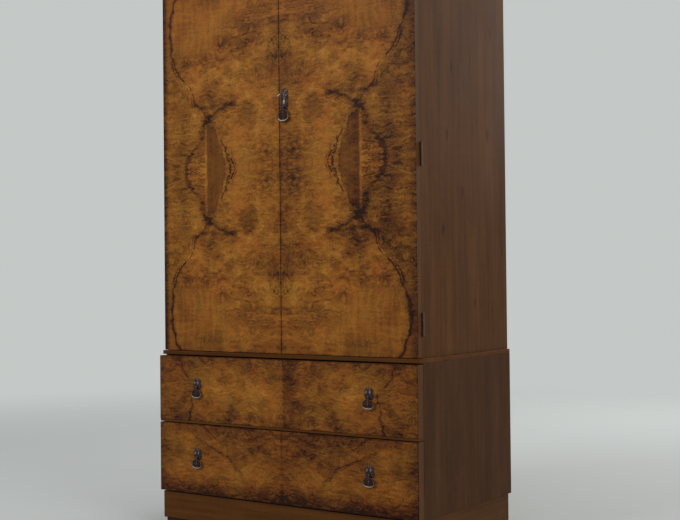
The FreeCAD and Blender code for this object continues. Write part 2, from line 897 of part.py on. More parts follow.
def write_doors():
    x, z = door_handle_place()
    save("right_door_panel", right_door_panel())
    save("left_door_panel", left_door_panel())
    save("door_handle_plate", door_handle_plate())
    save("door_handle_bolt", handle_bolt(x, door_face_y, z, door_thickness))
    save("door_handle_ring", drop_ring(door_ring_drop, x, door_face_y, z))
    save("door_catch_case", catch_case())
    save("door_catch_ball", catch_ball())
    save("catch_strike_plate", catch_plate())
    save("left_door_bolt_housings", [bolt_housing(1), bolt_housing(-1)])
    save("left_door_top_bolt", bolt_rod(1))
    save("left_door_bottom_bolt", bolt_rod(-1))
    save("bolt_keeps", bolt_keeps())


os.makedirs("parts", exist_ok=True)
write_plinth()
write_lower_carcass()
write_upper_carcass()
write_hinges()
write_doors()
save("top_drawer_bead", top_drawer_bead())
write_drawer(
    "top_drawer", top_front_foot + bead_height, top_front_head,
    divider_head + drawer_rest_gap, ledge_bottom - drawer_top_clearance,
)
write_drawer(
    "bottom_drawer", fronts_foot, bottom_front_head,
    lower_floor + drawer_rest_gap, divider_foot - drawer_top_clearance,
)
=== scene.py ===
import bmesh
import bpy
import math
from mathutils import Matrix, Vector


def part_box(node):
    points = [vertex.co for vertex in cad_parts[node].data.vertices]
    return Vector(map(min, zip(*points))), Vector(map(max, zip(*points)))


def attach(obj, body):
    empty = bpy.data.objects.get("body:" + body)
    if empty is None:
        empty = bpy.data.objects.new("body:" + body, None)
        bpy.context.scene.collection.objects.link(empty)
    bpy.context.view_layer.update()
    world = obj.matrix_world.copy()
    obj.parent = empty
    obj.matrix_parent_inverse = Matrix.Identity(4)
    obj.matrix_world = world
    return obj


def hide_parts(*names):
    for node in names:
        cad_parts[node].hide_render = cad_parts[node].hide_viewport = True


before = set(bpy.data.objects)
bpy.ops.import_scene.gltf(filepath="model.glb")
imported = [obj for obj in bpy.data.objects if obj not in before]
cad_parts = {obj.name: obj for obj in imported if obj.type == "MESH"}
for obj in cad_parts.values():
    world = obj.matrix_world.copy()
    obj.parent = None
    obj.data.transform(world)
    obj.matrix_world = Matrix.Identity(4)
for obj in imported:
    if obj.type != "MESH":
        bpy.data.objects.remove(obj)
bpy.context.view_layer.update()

# Units: the scene is in metres, and the veneer's figure is laid out in millimetres.
mm = 0.001
per_metre = 1000


def box_in_mm(node):
    """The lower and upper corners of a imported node's box."""
    return [corner * per_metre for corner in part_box(node)]


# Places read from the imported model, and the lines on which the veneer's leaves meet.
door_low, door_high = box_in_mm("right_door_panel")
left_door_low, left_door_high = box_in_mm("left_door_panel")
top_front_low, top_front_high = box_in_mm("top_drawer_front")
bottom_front_low, bottom_front_high = box_in_mm("bottom_drawer_front")
seam_x = (left_door_high.x + door_low.x) / 2
match_drop = 2
match_z = (door_low.z + door_high.z) / 2 - match_drop
front_match_x = 5


# Node trees


def feed(tree, socket, value):
    """Gives a socket a wire or a plain value."""
    if isinstance(value, Wire):
        tree.links.new(value.socket, socket)
    else:
        socket.default_value = value


def add_node(tree, kind, inputs, output=0, **settings):
    """Adds a node, sets and feeds it, and gives the wire from one of its outputs."""
    node = tree.nodes.new("ShaderNode" + kind)
    for name, value in settings.items():
        setattr(node, name, value)
    for name, value in inputs.items():
        feed(tree, node.inputs[name], value)
    return Wire(tree, node.outputs[output])


def sum_method(operation):
    """A method that puts the wire and other values through a math node."""
    def method(wire, *others):
        return add_node(wire.tree, "Math", dict(enumerate((wire, *others))), operation=operation)

    return method


class Wire:
    """One output in a node tree, which takes part in sums as a number does."""

    def __init__(self, tree, socket):
        self.tree = tree
        self.socket = socket

    __add__ = __radd__ = sum_method("ADD")
    __mul__ = __rmul__ = sum_method("MULTIPLY")
    __sub__ = sum_method("SUBTRACT")
    __truediv__ = sum_method("DIVIDE")
    absolute = sum_method("ABSOLUTE")
    sine = sum_method("SINE")
    root = sum_method("SQRT")
    most = sum_method("MAXIMUM")

    def __rsub__(self, other):
        return add_node(self.tree, "Math", {0: other, 1: self}, operation="SUBTRACT")

    def ramp(self, start, end, low=0, high=1):
        """Rises smoothly from low at start to high at end, and falls where start is the larger."""
        inputs = {"Value": self, "From Min": start, "From Max": end, "To Min": low, "To Max": high}
        return add_node(self.tree, "MapRange", inputs, "Result", interpolation_type="SMOOTHSTEP")

    def bell(self, width):
        """One where the wire is zero, falling away over the width on both sides."""
        return (self / width).absolute().ramp(1, 0)

    def curve(self, points):
        """A smooth line through a few (input, output) points, level beyond them."""
        wire = add_node(self.tree, "FloatCurve", {"Value": self}, "Value")
        mapping = wire.socket.node.mapping
        mapping.use_clip = False
        mapping.extend = "HORIZONTAL"
        line = mapping.curves[0]
        line.points[0].location = points[0]
        line.points[1].location = points[-1]
        for point in points[1:-1]:
            line.points.new(*point)
        mapping.update()
        return wire

    def colours(self, stops):
        """A colour that passes through (share, red, green, blue) stops, in sRGB numbers to 255."""
        wire = add_node(self.tree, "ValToRGB", {"Fac": self}, "Color")
        elements = wire.socket.node.color_ramp.elements
        while len(elements) < len(stops):
            elements.new(0.5)
        for element, (share, *shade) in zip(elements, stops):
            element.position = share
            element.color = linear(*shade)
        return wire


def linear(*shade):
    """A linear colour from sRGB numbers to 255."""
    shares = [number / 255 for number in shade]
    return (*[s / 12.92 if s <= 0.04045 else ((s + 0.055) / 1.055) ** 2.4 for s in shares], 1)


class Paint:
    """A material being made: its node tree, its shader, and the object's coordinates in millimetres."""

    def __init__(self, name, roughness, metallic=0, specular=0.5):
        self.material = bpy.data.materials.new(name)
        self.material.use_nodes = True
        self.tree = self.material.node_tree
        self.shader = self.tree.nodes["Principled BSDF"]
        self.give({"Roughness": roughness, "Metallic": metallic, "Specular IOR Level": specular})
        source = add_node(self.tree, "TexCoord", {}, "Object")
        apart = add_node(self.tree, "SeparateXYZ", {0: source}).socket.node
        self.x, self.y, self.z = [Wire(self.tree, output) * per_metre for output in apart.outputs]

    def give(self, inputs):
        """Feeds the shader's inputs."""
        for name, value in inputs.items():
            feed(self.tree, self.shader.inputs[name], value)

    def noise(self, x, y, z, size, detail=2, rough=0.5):
        """Cloudy noise from 0 to 1 whose lumps are about as large as size, in millimetres."""
        place = add_node(self.tree, "CombineXYZ", {0: x, 1: y, 2: z})
        inputs = {"Vector": place, "Scale": 1 / size, "Detail": detail, "Roughness": rough}
        return add_node(self.tree, "TexNoise", inputs, "Fac")

    def clouds(self, size, detail=2, rough=0.5):
        """Noise at the object's own coordinates."""
        return self.noise(self.x, self.y, self.z, size, detail, rough)

    def mix(self, share, first, second, blend="MIX"):
        """Mixes two colours, whose sockets on the node are the seventh and eighth."""
        inputs = {0: share, 6: first, 7: second}
        return add_node(self.tree, "Mix", inputs, 2, data_type="RGBA", blend_type=blend)

    def finish(self, colour, roughness, height, bump):
        """Gives the shader its colour and roughness, and a relief as deep as bump."""
        relief = add_node(self.tree, "Bump", {"Distance": bump, "Height": height}, "Normal")
        self.give({"Base Color": colour, "Roughness": roughness, "Normal": relief})
        return self.material


# Burr walnut veneer. The figure is drawn in u, the distance from the match line, and v, the
# distance from the level match line (or the height on a drawer front), in millimetres.

veneer_stops = (
    (0, 38, 21, 11), (0.1, 68, 38, 14), (0.25, 96, 56, 19), (0.4, 120, 73, 24), (0.5, 133, 83, 28),
    (0.6, 144, 92, 32), (0.75, 158, 104, 40), (0.9, 174, 119, 50), (1, 194, 139, 66),
)
red_tint = (1, 0.82, 0.84, 1)
olive_tint = (0.86, 0.96, 0.9, 1)


class Figure:
    """The tone of one leaf of veneer, from 0, black, to 1, pale gold, built up stroke by stroke."""

    def __init__(self, paint, u, v, seed, liveliness=1):
        self.paint = paint
        self.seed = seed
        self.u, self.v = u, v
        self.tone = self.texture() * liveliness + 0.55
        self.soft_u, self.soft_v = self.wander(u, v, 42, 16, 1)
        self.rough_u, self.rough_v = self.wander(self.soft_u, self.soft_v, 12, 7, 4)

    def noise(self, u, v, seed, size, detail=2, rough=0.5):
        return self.paint.noise(u, v, seed + self.seed, size, detail, rough)

    def wander(self, u, v, size, reach, seed):
        """The point moved about by noise, so that drawn strokes look grown."""
        first = self.noise(u, v, seed * size, size, 3, 0.6)
        second = self.noise(u, v, seed * size + 90, size, 3, 0.6)
        return u + (first - 0.5) * (2 * reach), v + (second - 0.5) * (2 * reach)

    def texture(self):
        """Clouds, mottle and broken streaks that cover the whole leaf."""
        flow_u, flow_v = self.wander(self.u, self.v, 75, 60, 7)
        broad = self.noise(self.u, self.v, 5, 120, 2) - 0.5
        mottle = self.noise(flow_u * 0.6, flow_v, 300, 26, 4, 0.62) - 0.5
        streaks = self.noise(flow_u * 0.2, flow_v, 500, 5.5, 3, 0.6) - 0.5
        fine = self.noise(flow_u * 0.3, flow_v, 700, 1.7, 1, 0.5) - 0.5
        grit = self.noise(self.u, self.v, 800, 2.6, 2, 0.65) - 0.5
        return broad * 0.6 + mottle * 0.56 + streaks * 0.52 + fine * 0.4 + grit * 0.36

    def oval(self, place, radii, soft, rough=False):
        """One inside an oval, falling to zero outside it."""
        u, v = (self.rough_u, self.rough_v) if rough else (self.soft_u, self.soft_v)
        across = (u - place[0]) / radii[0]
        along = (v - place[1]) / radii[1]
        return (across * across + along * along).root().ramp(1 + soft, 1 - soft)

    def shade(self, mask, depth):
        """Darkens the tone where the mask is one, or lightens it where depth is below zero."""
        self.tone = self.tone - mask * depth

    def spots(self, *patches, rough=False):
        """Shades ovals: each has its place, radii, softness, depth, and masks that hold it back."""
        for place, radii, soft, depth, *masks in patches:
            patch = self.oval(place, radii, soft, rough)
            for mask in masks:
                patch = patch * mask
            self.shade(patch, depth)

    def blend(self, mask, value):
        """Moves the tone towards a value where the mask is one."""
        self.tone = self.tone * (1 - mask) + mask * value

    def stroke(self, points, width, depth, span, level=False, fade=14):
        """A line whose u follows v through the points, or whose v follows u where it is level."""
        along, across = (self.rough_u, self.rough_v) if level else (self.rough_v, self.rough_u)
        line = across - along.curve(points)
        start, end = span
        half = fade / 2
        ends = along.ramp(start - half, start + half) * along.ramp(end + half, end - half)
        self.shade(line.bell(width) * ends, depth)
        return line, ends

    def strokes(self, table, **options):
        for row in table:
            self.stroke(*row, **options)

    def hatch(self, mask, depth, pitch=4.5, length=30, upright=False):
        """Fine broken lines side by side, level or upright, wherever the mask is."""
        u, v = (self.soft_v, self.soft_u) if upright else (self.soft_u, self.soft_v)
        lines = self.noise(u * (pitch / length), v, 900 + pitch, pitch, 2, 0.6) - 0.5
        self.shade(mask * lines, -depth)

    def hairs(self, mask, depth, size=13):
        """Thin dark lines where a cloud drawn out sideways passes its middle, here and there."""
        cloud = self.noise(self.soft_u * 0.3, self.soft_v, 2500, size, 3, 0.6)
        breaks = self.noise(self.u, self.v, 2600, 30).ramp(0.45, 0.6)
        self.shade((cloud - 0.5).absolute().ramp(0.03, 0) * breaks * mask, depth)

    def curls(self, mask, depth, size=34, turns=26):
        """Lines that wind round each other like the edges of small burr knots."""
        field = self.noise(self.soft_u, self.soft_v, 1200 + size, size, 3, 0.55)
        lines = (field * turns).sine()
        breaks = self.noise(self.u, self.v, 1300 + size, 16).ramp(0.36, 0.62)
        self.shade(mask * breaks * lines, depth)

    def tint(self, mask, share, shade):
        self.colour = self.paint.mix(mask * share, self.colour, shade, "MULTIPLY")

    def rim(self, low, high, reach, depth):
        """Darkens the face towards its edges: painted shade, deepest in a thin line at the very edge."""
        across = (self.paint.x - (low.x + high.x) / 2).absolute() - (high.x - low.x) / 2
        along = (self.paint.z - (low.z + high.z) / 2).absolute() - (high.z - low.z) / 2
        for breadth in (reach, 4):
            self.shade(across.most(along).ramp(-breadth, 0), depth)


# The main line round the figure, as (v, u) points, and its strength and breadth along v.
edge_points = (
    (0, 295), (20, 294), (37, 286), (47, 276), (60, 257), (77, 242), (100, 238), (118, 233), (140, 232),
    (152, 238), (164, 264), (177, 270), (207, 280), (222, 291), (236, 308), (250, 324), (273, 339),
    (310, 353), (330, 358), (375, 358), (400, 354), (425, 344), (455, 320),
)
edge_strength = (
    (0, 0.2), (50, 0.18), (64, 0.1), (120, 0.05), (150, 0.14), (172, 0.3), (280, 0.28), (310, 0.26),
    (340, 0.26),
)
edge_breadth = ((0, 9), (50, 9), (75, 5), (140, 4), (180, 3.4), (280, 3.8), (320, 6))


def door_veneer():
    """The doors' quarter-matched veneer, in the order in which its parts cover each other."""
    paint = Paint("burr_walnut_doors", roughness=0.42, specular=0.08)
    u = (paint.x - seam_x).absolute()
    v = (paint.z - match_z).absolute()
    figure = Figure(paint, u, v, 20)
    door_masks(figure)
    door_ground(figure)
    door_line(figure)
    door_knot(figure)
    door_smear(figure)
    door_veins(figure)
    door_patches(figure)
    door_tongue(figure)
    return door_colour(figure)


def door_masks(figure):
    """Keeps what the drawing shares: which leaf a point is on, and how far beyond the line."""
    paint, v = figure.paint, figure.v
    figure.lower = paint.z.ramp(match_z + 4, match_z - 4)
    figure.upper = 1 - figure.lower
    figure.right = paint.x.ramp(seam_x - 0.4, seam_x + 0.4)
    figure.left = 1 - figure.right
    figure.far = v.ramp(290, 320)

    step = 3
    smooth = v.ramp(275, 315).most(v.ramp(70, 52)) * 0.85
    line_u = figure.rough_u + (figure.soft_u - figure.rough_u) * smooth + figure.far * figure.left * 9
    line_v = figure.rough_v + (figure.soft_v - figure.rough_v) * smooth
    slope = ((line_v + step).curve(edge_points) - (line_v - step).curve(edge_points)) / (2 * step)
    figure.beyond = (line_u - line_v.curve(edge_points)) / (slope * slope + 1).root()
    figure.breaks = figure.noise(line_u, line_v, 1500, 15).ramp(0.32, 0.62, 0.65, 1.15)
    figure.outside = figure.beyond.ramp(-3, 8)
    figure.corner = figure.oval((262, 392), (105, 105), 0.25) * (1 - figure.outside)


def door_ground(figure):
    """Fine broken lines and curls, the weave of the corners, the golden middle, painted light on the left
    leaves beyond the line, and a brown rim along the outer edges that is painted shade.
    """
    v, corner, outside, far, left = figure.v, figure.corner, figure.outside, figure.far, figure.left
    middle = figure.oval((110, 110), (200, 150), 0.35)
    figure.hatch(middle, 0.6)
    figure.curls(middle, 0.045, 11, 16)
    figure.hatch((1 - middle) * (1 - corner), 0.5, 6, 45)
    figure.hairs(1 - corner, 0.13)
    figure.curls(figure.oval((115, 270), (190, 62), 0.35), 0.12)
    figure.curls(figure.oval((20, 50), (110, 100), 0.5), 0.08, 15, 20)
    figure.curls(outside * v.ramp(160, 190) * v.ramp(290, 250), 0.12, 20, 20)
    figure.blend(corner * 0.5, 0.6)
    figure.hatch(corner, 0.45, 7, 90, True)
    figure.hatch(corner, 0.4, 3.4, 80)
    figure.blend(outside * far * 0.5, 0.4)

    figure.spots(((100, 100), (100, 120), 0.6, -0.14))
    figure.spots(
        ((265, 116), (24, 30), 0.6, -0.16), ((240, 228), (66, 30), 0.6, -0.13),
        ((150, 205), (40, 16), 0.7, -0.12), ((60, 285), (50, 16), 0.7, -0.12), rough=True,
    )
    figure.shade(outside, 0.04)
    # Painted light: the left leaves lightened beyond the line, the upper one most.
    figure.shade(outside * left * (v.ramp(40, 110) * 0.4 + 0.6), -0.09)
    figure.shade(outside * left * figure.upper * far, -0.06)
    # Painted shade: a dark band along each door's outer edge, deeper on the left door.
    figure.shade(figure.u.ramp(352, 368) * (0.34 - figure.right * 0.2), 1)


def door_line(figure):
    """The main line, sharp with a twin in the plain wood, soft round the eye and the corners."""
    v, beyond, breaks = figure.v, figure.beyond, figure.breaks
    figure.shade((beyond / v.curve(edge_breadth)).bell(1) * breaks, v.curve(edge_strength))
    figure.shade(beyond.bell(14), 0.07)
    twin = v.ramp(160, 175) * v.ramp(300, 260)
    figure.shade((beyond - 7.8).bell(2.8) * breaks * twin, 0.24)
    figure.shade((beyond - 4).bell(2.6) * twin, -0.12)
    figure.shade((beyond + 2).bell(14) * figure.far, 0.05)


def door_knot(figure):
    """The knot with the horn above it, the notch below it, and the soft shade round them."""
    figure.spots(((234, 117), (9, 7), 0.8, 0.12), rough=True)
    figure.spots(((234, 118), (22, 15), 0.8, 0.07))
    figure.spots(((256, 127), (7, 6), 0.7, 0.07), rough=True)
    figure.spots(((240, 88), (9, 24), 0.8, 0.05, figure.lower * 0.8 + 0.4), ((260, 58), (21, 11), 0.8, 0.08))
    figure.stroke(((220, 154), (250, 158), (286, 167)), 10, 0.2, (229, 280), level=True)
    figure.spots(((262, 172), (34, 14), 0.7, 0.07))


def door_smear(figure):
    """The smear from the knot towards the seam: a dark streak, a brown lens and hairs along its edge."""
    u, v = figure.soft_u, figure.soft_v
    lens_top = u.curve(((110, 162), (134, 163), (174, 172), (212, 165), (240, 140)))
    lens_foot = u.curve(((110, 162), (134, 155), (164, 142), (199, 127), (240, 114)))
    lens = (v - lens_foot).ramp(-1, 3) * (v - lens_top).ramp(2, -12)
    figure.shade(lens * (u.ramp(122, 140) * u.ramp(236, 222)), 0.17)
    streak = ((130, 165), (150, 160), (185, 143), (228, 122))
    figure.smear, figure.smear_ends = figure.stroke(streak, 13, 0.2, (138, 226), level=True)
    figure.strokes((
        (((110, 163), (134, 153), (164, 140), (199, 124), (240, 114)), 2.6, 0.3, (126, 238)),
        (((100, 160), (124, 154), (149, 136), (180, 124), (205, 116)), 2, 0.24, (118, 206)),
        (((90, 149), (130, 147), (160, 133), (205, 118)), 2.4, -0.22, (96, 200)),
        (((70, 176), (110, 168), (134, 164), (180, 176)), 1.8, -0.18, (90, 175)),
    ), level=True)


def door_veins(figure):
    """The branching vein beside the tongue, hairlines across the leaf, and the butterfly on the seam."""
    figure.strokes((
        (((0, 141), (12, 147), (37, 161), (57, 173), (80, 176)), 3.8, 0.42, (-20, 70)),
        (((0, 152), (18, 158), (38, 167), (53, 168), (70, 160)), 3.2, 0.36, (-20, 62)),
        (((0, 132), (14, 140), (30, 148), (48, 152)), 2.4, 0.28, (-20, 44)),
        (((0, 163), (20, 152), (36, 168), (60, 178)), 2.6, 0.3, (2, 66)),
    ))
    figure.spots(((156, 10), (18, 42), 0.7, 0.1), rough=True)
    figure.strokes((
        (((60, 221), (120, 223), (180, 227)), 1.8, 0.22, (78, 165)),
        (((60, 343), (120, 344), (200, 347)), 1.8, 0.24, (76, 190)),
        (((0, 367), (60, 368), (130, 372)), 1.8, 0.2, (-20, 115)),
        (((0, 196), (60, 199), (120, 203)), 1.6, 0.18, (4, 110)),
        (((240, 26), (280, 24), (320, 28)), 2.6, 0.26, (236, 316)),
        (((240, 42), (280, 40), (330, 46)), 2.4, 0.2, (246, 330)),
        (((230, 8), (260, 6), (300, 9)), 2.6, 0.26, (229, 290)),
        (((260, 72), (300, 68), (372, 74)), 2.4, 0.18, (290, 372)),
    ), level=True, fade=30)
    figure.strokes((
        (((244, 0), (262, 18), (278, 32), (290, 30), (303, 10), (312, 0)), 2.8, 0.3, (246, 312)),
        (((240, 20), (262, 5), (284, 12), (306, 30)), 2.6, 0.26, (242, 306)),
    ))
    figure.spots(((10, 262), (13, 9), 0.7, 0.16), rough=True)


def door_patches(figure):
    """Clouded brown patches, and what only the lower, upper, left or right leaves show; the band beside the
    seam and the right leaves' darker tone are painted shade.
    """
    lower, upper, right = figure.lower, figure.upper, figure.right
    figure.spots(((99, 127), (27, 38), 0.35, 0.12))
    figure.spots(
        ((101, 156), (18, 9), 0.6, 0.15), ((210, 197), (27, 30), 0.6, 0.17),
        ((159, 238), (13, 14), 0.6, 0.15), ((180, 306), (24, 17), 0.7, 0.1), ((15, 346), (17, 12), 0.7, 0.2),
        ((116, 290), (20, 14), 0.7, 0.14), ((235, 262), (60, 14), 0.7, 0.1),
        ((140, 372), (46, 26), 0.7, 0.08), ((48, 226), (52, 14), 0.7, 0.12),
        ((190, 420), (50, 26), 0.7, 0.1), ((330, 20), (26, 60), 0.7, 0.08), rough=True,
    )
    figure.spots(
        ((97, 130), (24, 34), 0.3, 0.06, lower, figure.left),
        ((140, 132), (70, 26), 0.3, -0.1, lower, right),
        # The next two rows are painted shade: darkening beside the seam between the doors, most on the right
        # door.
        ((16, 30), (52, 100), 0.7, 0.13, right * 0.9 + 0.3),
        ((30, 115), (95, 85), 0.6, 1, right * 0.05 + lower * 0.05 + 0.05),
        # This row is painted shade: the right leaves darkened.
        ((40, 196), (90, 26), 0.6, 0.1, right),
        ((70, 318), (150, 34), 0.6, 0.07, upper),
        ((170, 240), (120, 26), 0.7, -0.08, upper),
        ((120, 300), (110, 30), 0.7, -0.07, lower),
    )
    figure.shade(figure.corner * (lower * 0.07 + right * 0.08 - lower * right * 0.08 - 0.05), 1)
    # Painted shade: the right leaves darkened, low down, near the middle and beyond the line.
    figure.spots(((245, 160), (80, 80), 0.6, 0.15, right, lower), ((265, 0), (50, 70), 0.5, 0.1, right))
    figure.shade(figure.outside * right * (1 - figure.far), 0.05)


def door_tongue(figure):
    """The smooth tongue beside the middle, the rippled eye beyond it, and painted shade towards the rim of
    each door.
    """
    u, v, right = figure.soft_u, figure.v, figure.right
    inner = figure.soft_v.curve((
        (0, 171), (12, 172), (47, 179), (72, 189), (97, 202), (112, 216), (120, 230),
    ))
    straight = figure.u + (u - figure.u) * 0.2
    figure.tongue = (u - inner).ramp(-2, 3) * straight.ramp(229, 224) * v.ramp(124, 110)
    grain = figure.noise(u, figure.soft_v * 0.2, 1700, 11, 3, 0.6) - 0.5
    figure.blend(figure.tongue * (0.74 - right * 0.3), grain * 0.5 + 0.32)
    # Painted shade: the right door's tongue darkened, as the right leaves are.
    figure.shade(figure.tongue * right, 0.13)
    figure.shade((u - inner).bell(4) * v.ramp(125, 105), 0.12)
    eye = (u - 228).ramp(0, 5) * figure.beyond.ramp(2, -6) * v.ramp(52, 38)
    figure.shade(eye, -0.04)
    figure.hatch(eye, 1.3, 4.4, 90)
    figure.shade((straight - 231).bell(5) * v.ramp(110, 90), -0.14)
    figure.hatch(figure.outside * v.ramp(170, 130), 0.6, 7, 80)
    # Painted shade: each door darkened towards its edges.
    figure.rim(left_door_low, left_door_high, 14, 0.05)
    figure.rim(door_low, door_high, 14, 0.05)


def door_colour(figure):
    """Gives the tone its colour, redder in clouds and near the head, greener beyond the line."""
    figure.colour = figure.tone.colours(veneer_stops)
    clouds = figure.noise(figure.u, figure.v, 1900, 80, 3)
    head = (figure.paint.z - 1180).ramp(0, 110)
    figure.tint(clouds.ramp(0.46, 0.64).most(figure.tongue * 0.4).most(head * 0.8), 0.6, red_tint)
    figure.tint(figure.tone.ramp(0.3, 0.05), 0.8, red_tint)
    plain = figure.outside * figure.v.ramp(330, 280) * 0.8
    smeared = figure.smear.bell(16) * figure.smear_ends
    figure.tint(clouds.ramp(0.48, 0.32).most(plain).most(smeared), 0.6, olive_tint)
    return front_and_back(figure.paint, figure.colour, door_low.y)


def drawer_figure(name, low, high, seed):
    """A drawer front's figure, whose two halves meet at the match line."""
    paint = Paint(name, roughness=0.42, specular=0.08)
    u = (paint.x - front_match_x).absolute()
    figure = Figure(paint, u, paint.z, seed, 0.9)
    figure.shade(1, 0.15)
    figure.hatch(1, 0.6, 5, 34)
    # Painted shade: the front darkened towards its edges.
    figure.rim(low, high, 38, 0.13)
    figure.right = paint.x.ramp(front_match_x - 0.6, front_match_x + 0.6)
    return figure


def drawer_colour(figure, face_y):
    figure.colour = figure.tone.colours(veneer_stops)
    clouds = figure.noise(figure.u, figure.v, 1900, 70, 3)
    figure.tint(clouds.ramp(0.46, 0.62), 0.5, red_tint)
    figure.tint(figure.tone.ramp(0.3, 0.05), 0.8, red_tint)
    figure.tint(clouds.ramp(0.46, 0.32), 0.6, olive_tint)
    return front_and_back(figure.paint, figure.colour, face_y)


def top_drawer_veneer():
    figure = drawer_figure("burr_walnut_top_drawer", top_front_low, top_front_high, 3000)
    upper_mottle = figure.oval((118, 405), (62, 30), 0.5, True)
    mottled = upper_mottle.most(figure.oval((115, 288), (66, 20), 0.5, True))
    figure.curls(mottled, 0.08, 26)
    figure.shade(mottled, 0.04)
    figure.spots(
        # The last two rows are painted light and shade: the left half lightened, the right half darkened.
        ((140, 350), (150, 26), 0.6, -0.13), ((60, 330), (44, 40), 0.6, -0.1, 1 - figure.right),
        ((90, 350), (70, 44), 0.6, 0.14, figure.right),
    )
    vein = ((262, 283), (275, 285), (294, 283), (340, 280), (369, 275), (389, 297), (429, 318))
    line, ends = figure.stroke(vein, 3.6, 0.23, (262, 432))
    figure.shade(line.bell(16) * ends, 0.06)
    figure.shade(line.ramp(0, 30), 0.05)
    figure.strokes((
        (((262, 262), (285, 268), (310, 262)), 3, 0.1, (264, 304)),
        (((262, 246), (280, 258), (300, 272)), 3, 0.1, (264, 300)),
    ))
    figure.spots(
        ((150, 296), (22, 14), 0.7, 0.12), ((88, 292), (18, 12), 0.7, 0.12), ((172, 378), (20, 14), 0.7, 0.1),
        ((100, 400), (20, 10), 0.7, 0.1), ((150, 338), (12, 8), 0.7, 0.11), ((30, 405), (22, 26), 0.7, 0.1),
        rough=True,
    )
    # Painted shade: the right half darkened beside the seam.
    seam_shade_band = figure.u.ramp(3, 8) * figure.u.ramp(66, 24)
    figure.shade(seam_shade_band * figure.right, 0.16)
    figure.shade(figure.u.bell(16), 0.05)
    return drawer_colour(figure, top_front_low.y)


def bottom_drawer_veneer():
    figure = drawer_figure("burr_walnut_bottom_drawer", bottom_front_low, bottom_front_high, 5000)
    mottled = figure.oval((70, 228), (118, 40), 0.5, True)
    figure.curls(mottled, 0.07, 28)
    figure.curls(figure.oval((140, 140), (44, 34), 0.6), 0.08, 24)
    figure.shade(mottled, 0.04)
    figure.spots(((230, 140), (110, 34), 0.6, -0.1), ((70, 160), (50, 24), 0.6, -0.08))
    # Painted shade: the front darkened towards its foot.
    figure.shade(figure.v.ramp(156, 100), 0.24)
    vein = ((90, 120), (110, 154), (138, 169), (168, 190), (198, 205), (233, 222), (262, 236))
    line, ends = figure.stroke(vein, 3.2, 0.19, (112, 252), level=True)
    figure.shade(line.bell(12) * ends, 0.05)
    figure.strokes((
        (((120, 150), (160, 178), (200, 196)), 2.4, 0.09, (130, 190)),
        (((240, 222), (262, 238), (285, 232), (300, 246)), 3, -0.16, (242, 292)),
    ), level=True)
    figure.spots(
        ((42, 207), (14, 7), 0.7, 0.13), ((140, 186), (24, 11), 0.7, 0.08), ((22, 236), (34, 20), 0.7, 0.04),
        ((96, 226), (20, 14), 0.7, 0.06), ((76, 110), (34, 12), 0.7, 0.08), ((60, 250), (26, 9), 0.7, 0.04),
        ((176, 240), (30, 12), 0.7, 0.08), ((88, 208), (12, 9), 0.7, 0.1), rough=True,
    )
    figure.shade(figure.u.bell(8), 0.08)
    # Painted shade: the right half darkened.
    figure.shade(figure.right, 0.05)
    return drawer_colour(figure, bottom_front_low.y)


def front_and_back(paint, colour, face_y):
    """The veneer shows on the front face alone; the edges and the back are plain walnut."""
    plain_colour, _ = grain_colour(paint, paint.x, paint.y, paint.z, "side")
    behind = (paint.y - face_y).ramp(0.6, 0.9)
    colour = paint.mix(behind, colour, plain_colour)
    dull = paint.clouds(90, 3)
    swell = paint.clouds(14, 3)
    pores = paint.noise(paint.x * 0.4, paint.y, paint.z, 1.3, 1)
    return paint.finish(colour, dull * 0.2 + 0.34, swell + pores * 0.25, 0.12 * mm)


# Straight-grained wood, each kind with five shades from its darkest streaks to its palest.

wood_shares = (0, 0.3, 0.5, 0.7, 1)
wood_shades = {
    "side": ((40, 23, 11), (67, 41, 20), (80, 50, 25), (92, 59, 31), (116, 79, 46)),
    # The lower sides are the upper sides' walnut made darker: painted shade, as the light falls off towards
    # the floor.
    "lower_side": ((36, 21, 11), (57, 35, 19), (69, 44, 24), (79, 52, 30), (100, 69, 42)),
    "plinth": ((46, 25, 10), (68, 40, 16), (82, 49, 20), (93, 57, 25), (112, 72, 36)),
    "inner": ((88, 60, 36), (116, 82, 52), (130, 95, 61), (142, 106, 70), (160, 124, 86)),
    "drawer": ((120, 92, 60), (150, 120, 84), (164, 133, 95), (175, 145, 106), (192, 164, 126)),
    "plywood": ((120, 92, 62), (146, 116, 82), (158, 128, 92), (168, 138, 102), (186, 158, 122)),
    "dark": ((30, 20, 12), (46, 31, 19), (56, 38, 24), (66, 46, 30), (82, 60, 42)),
}
# Knots on the upper sides, as their place across and up the board and their radii.
side_knots = (
    ((-65, 946), (5, 11)), ((130, 960), (6, 13)), ((-85, 728), (5, 10)), ((5, 819), (4, 8)),
    ((-40, 1102), (4, 9)), ((150, 1210), (4, 9)), ((60, 560), (4, 8)),
)


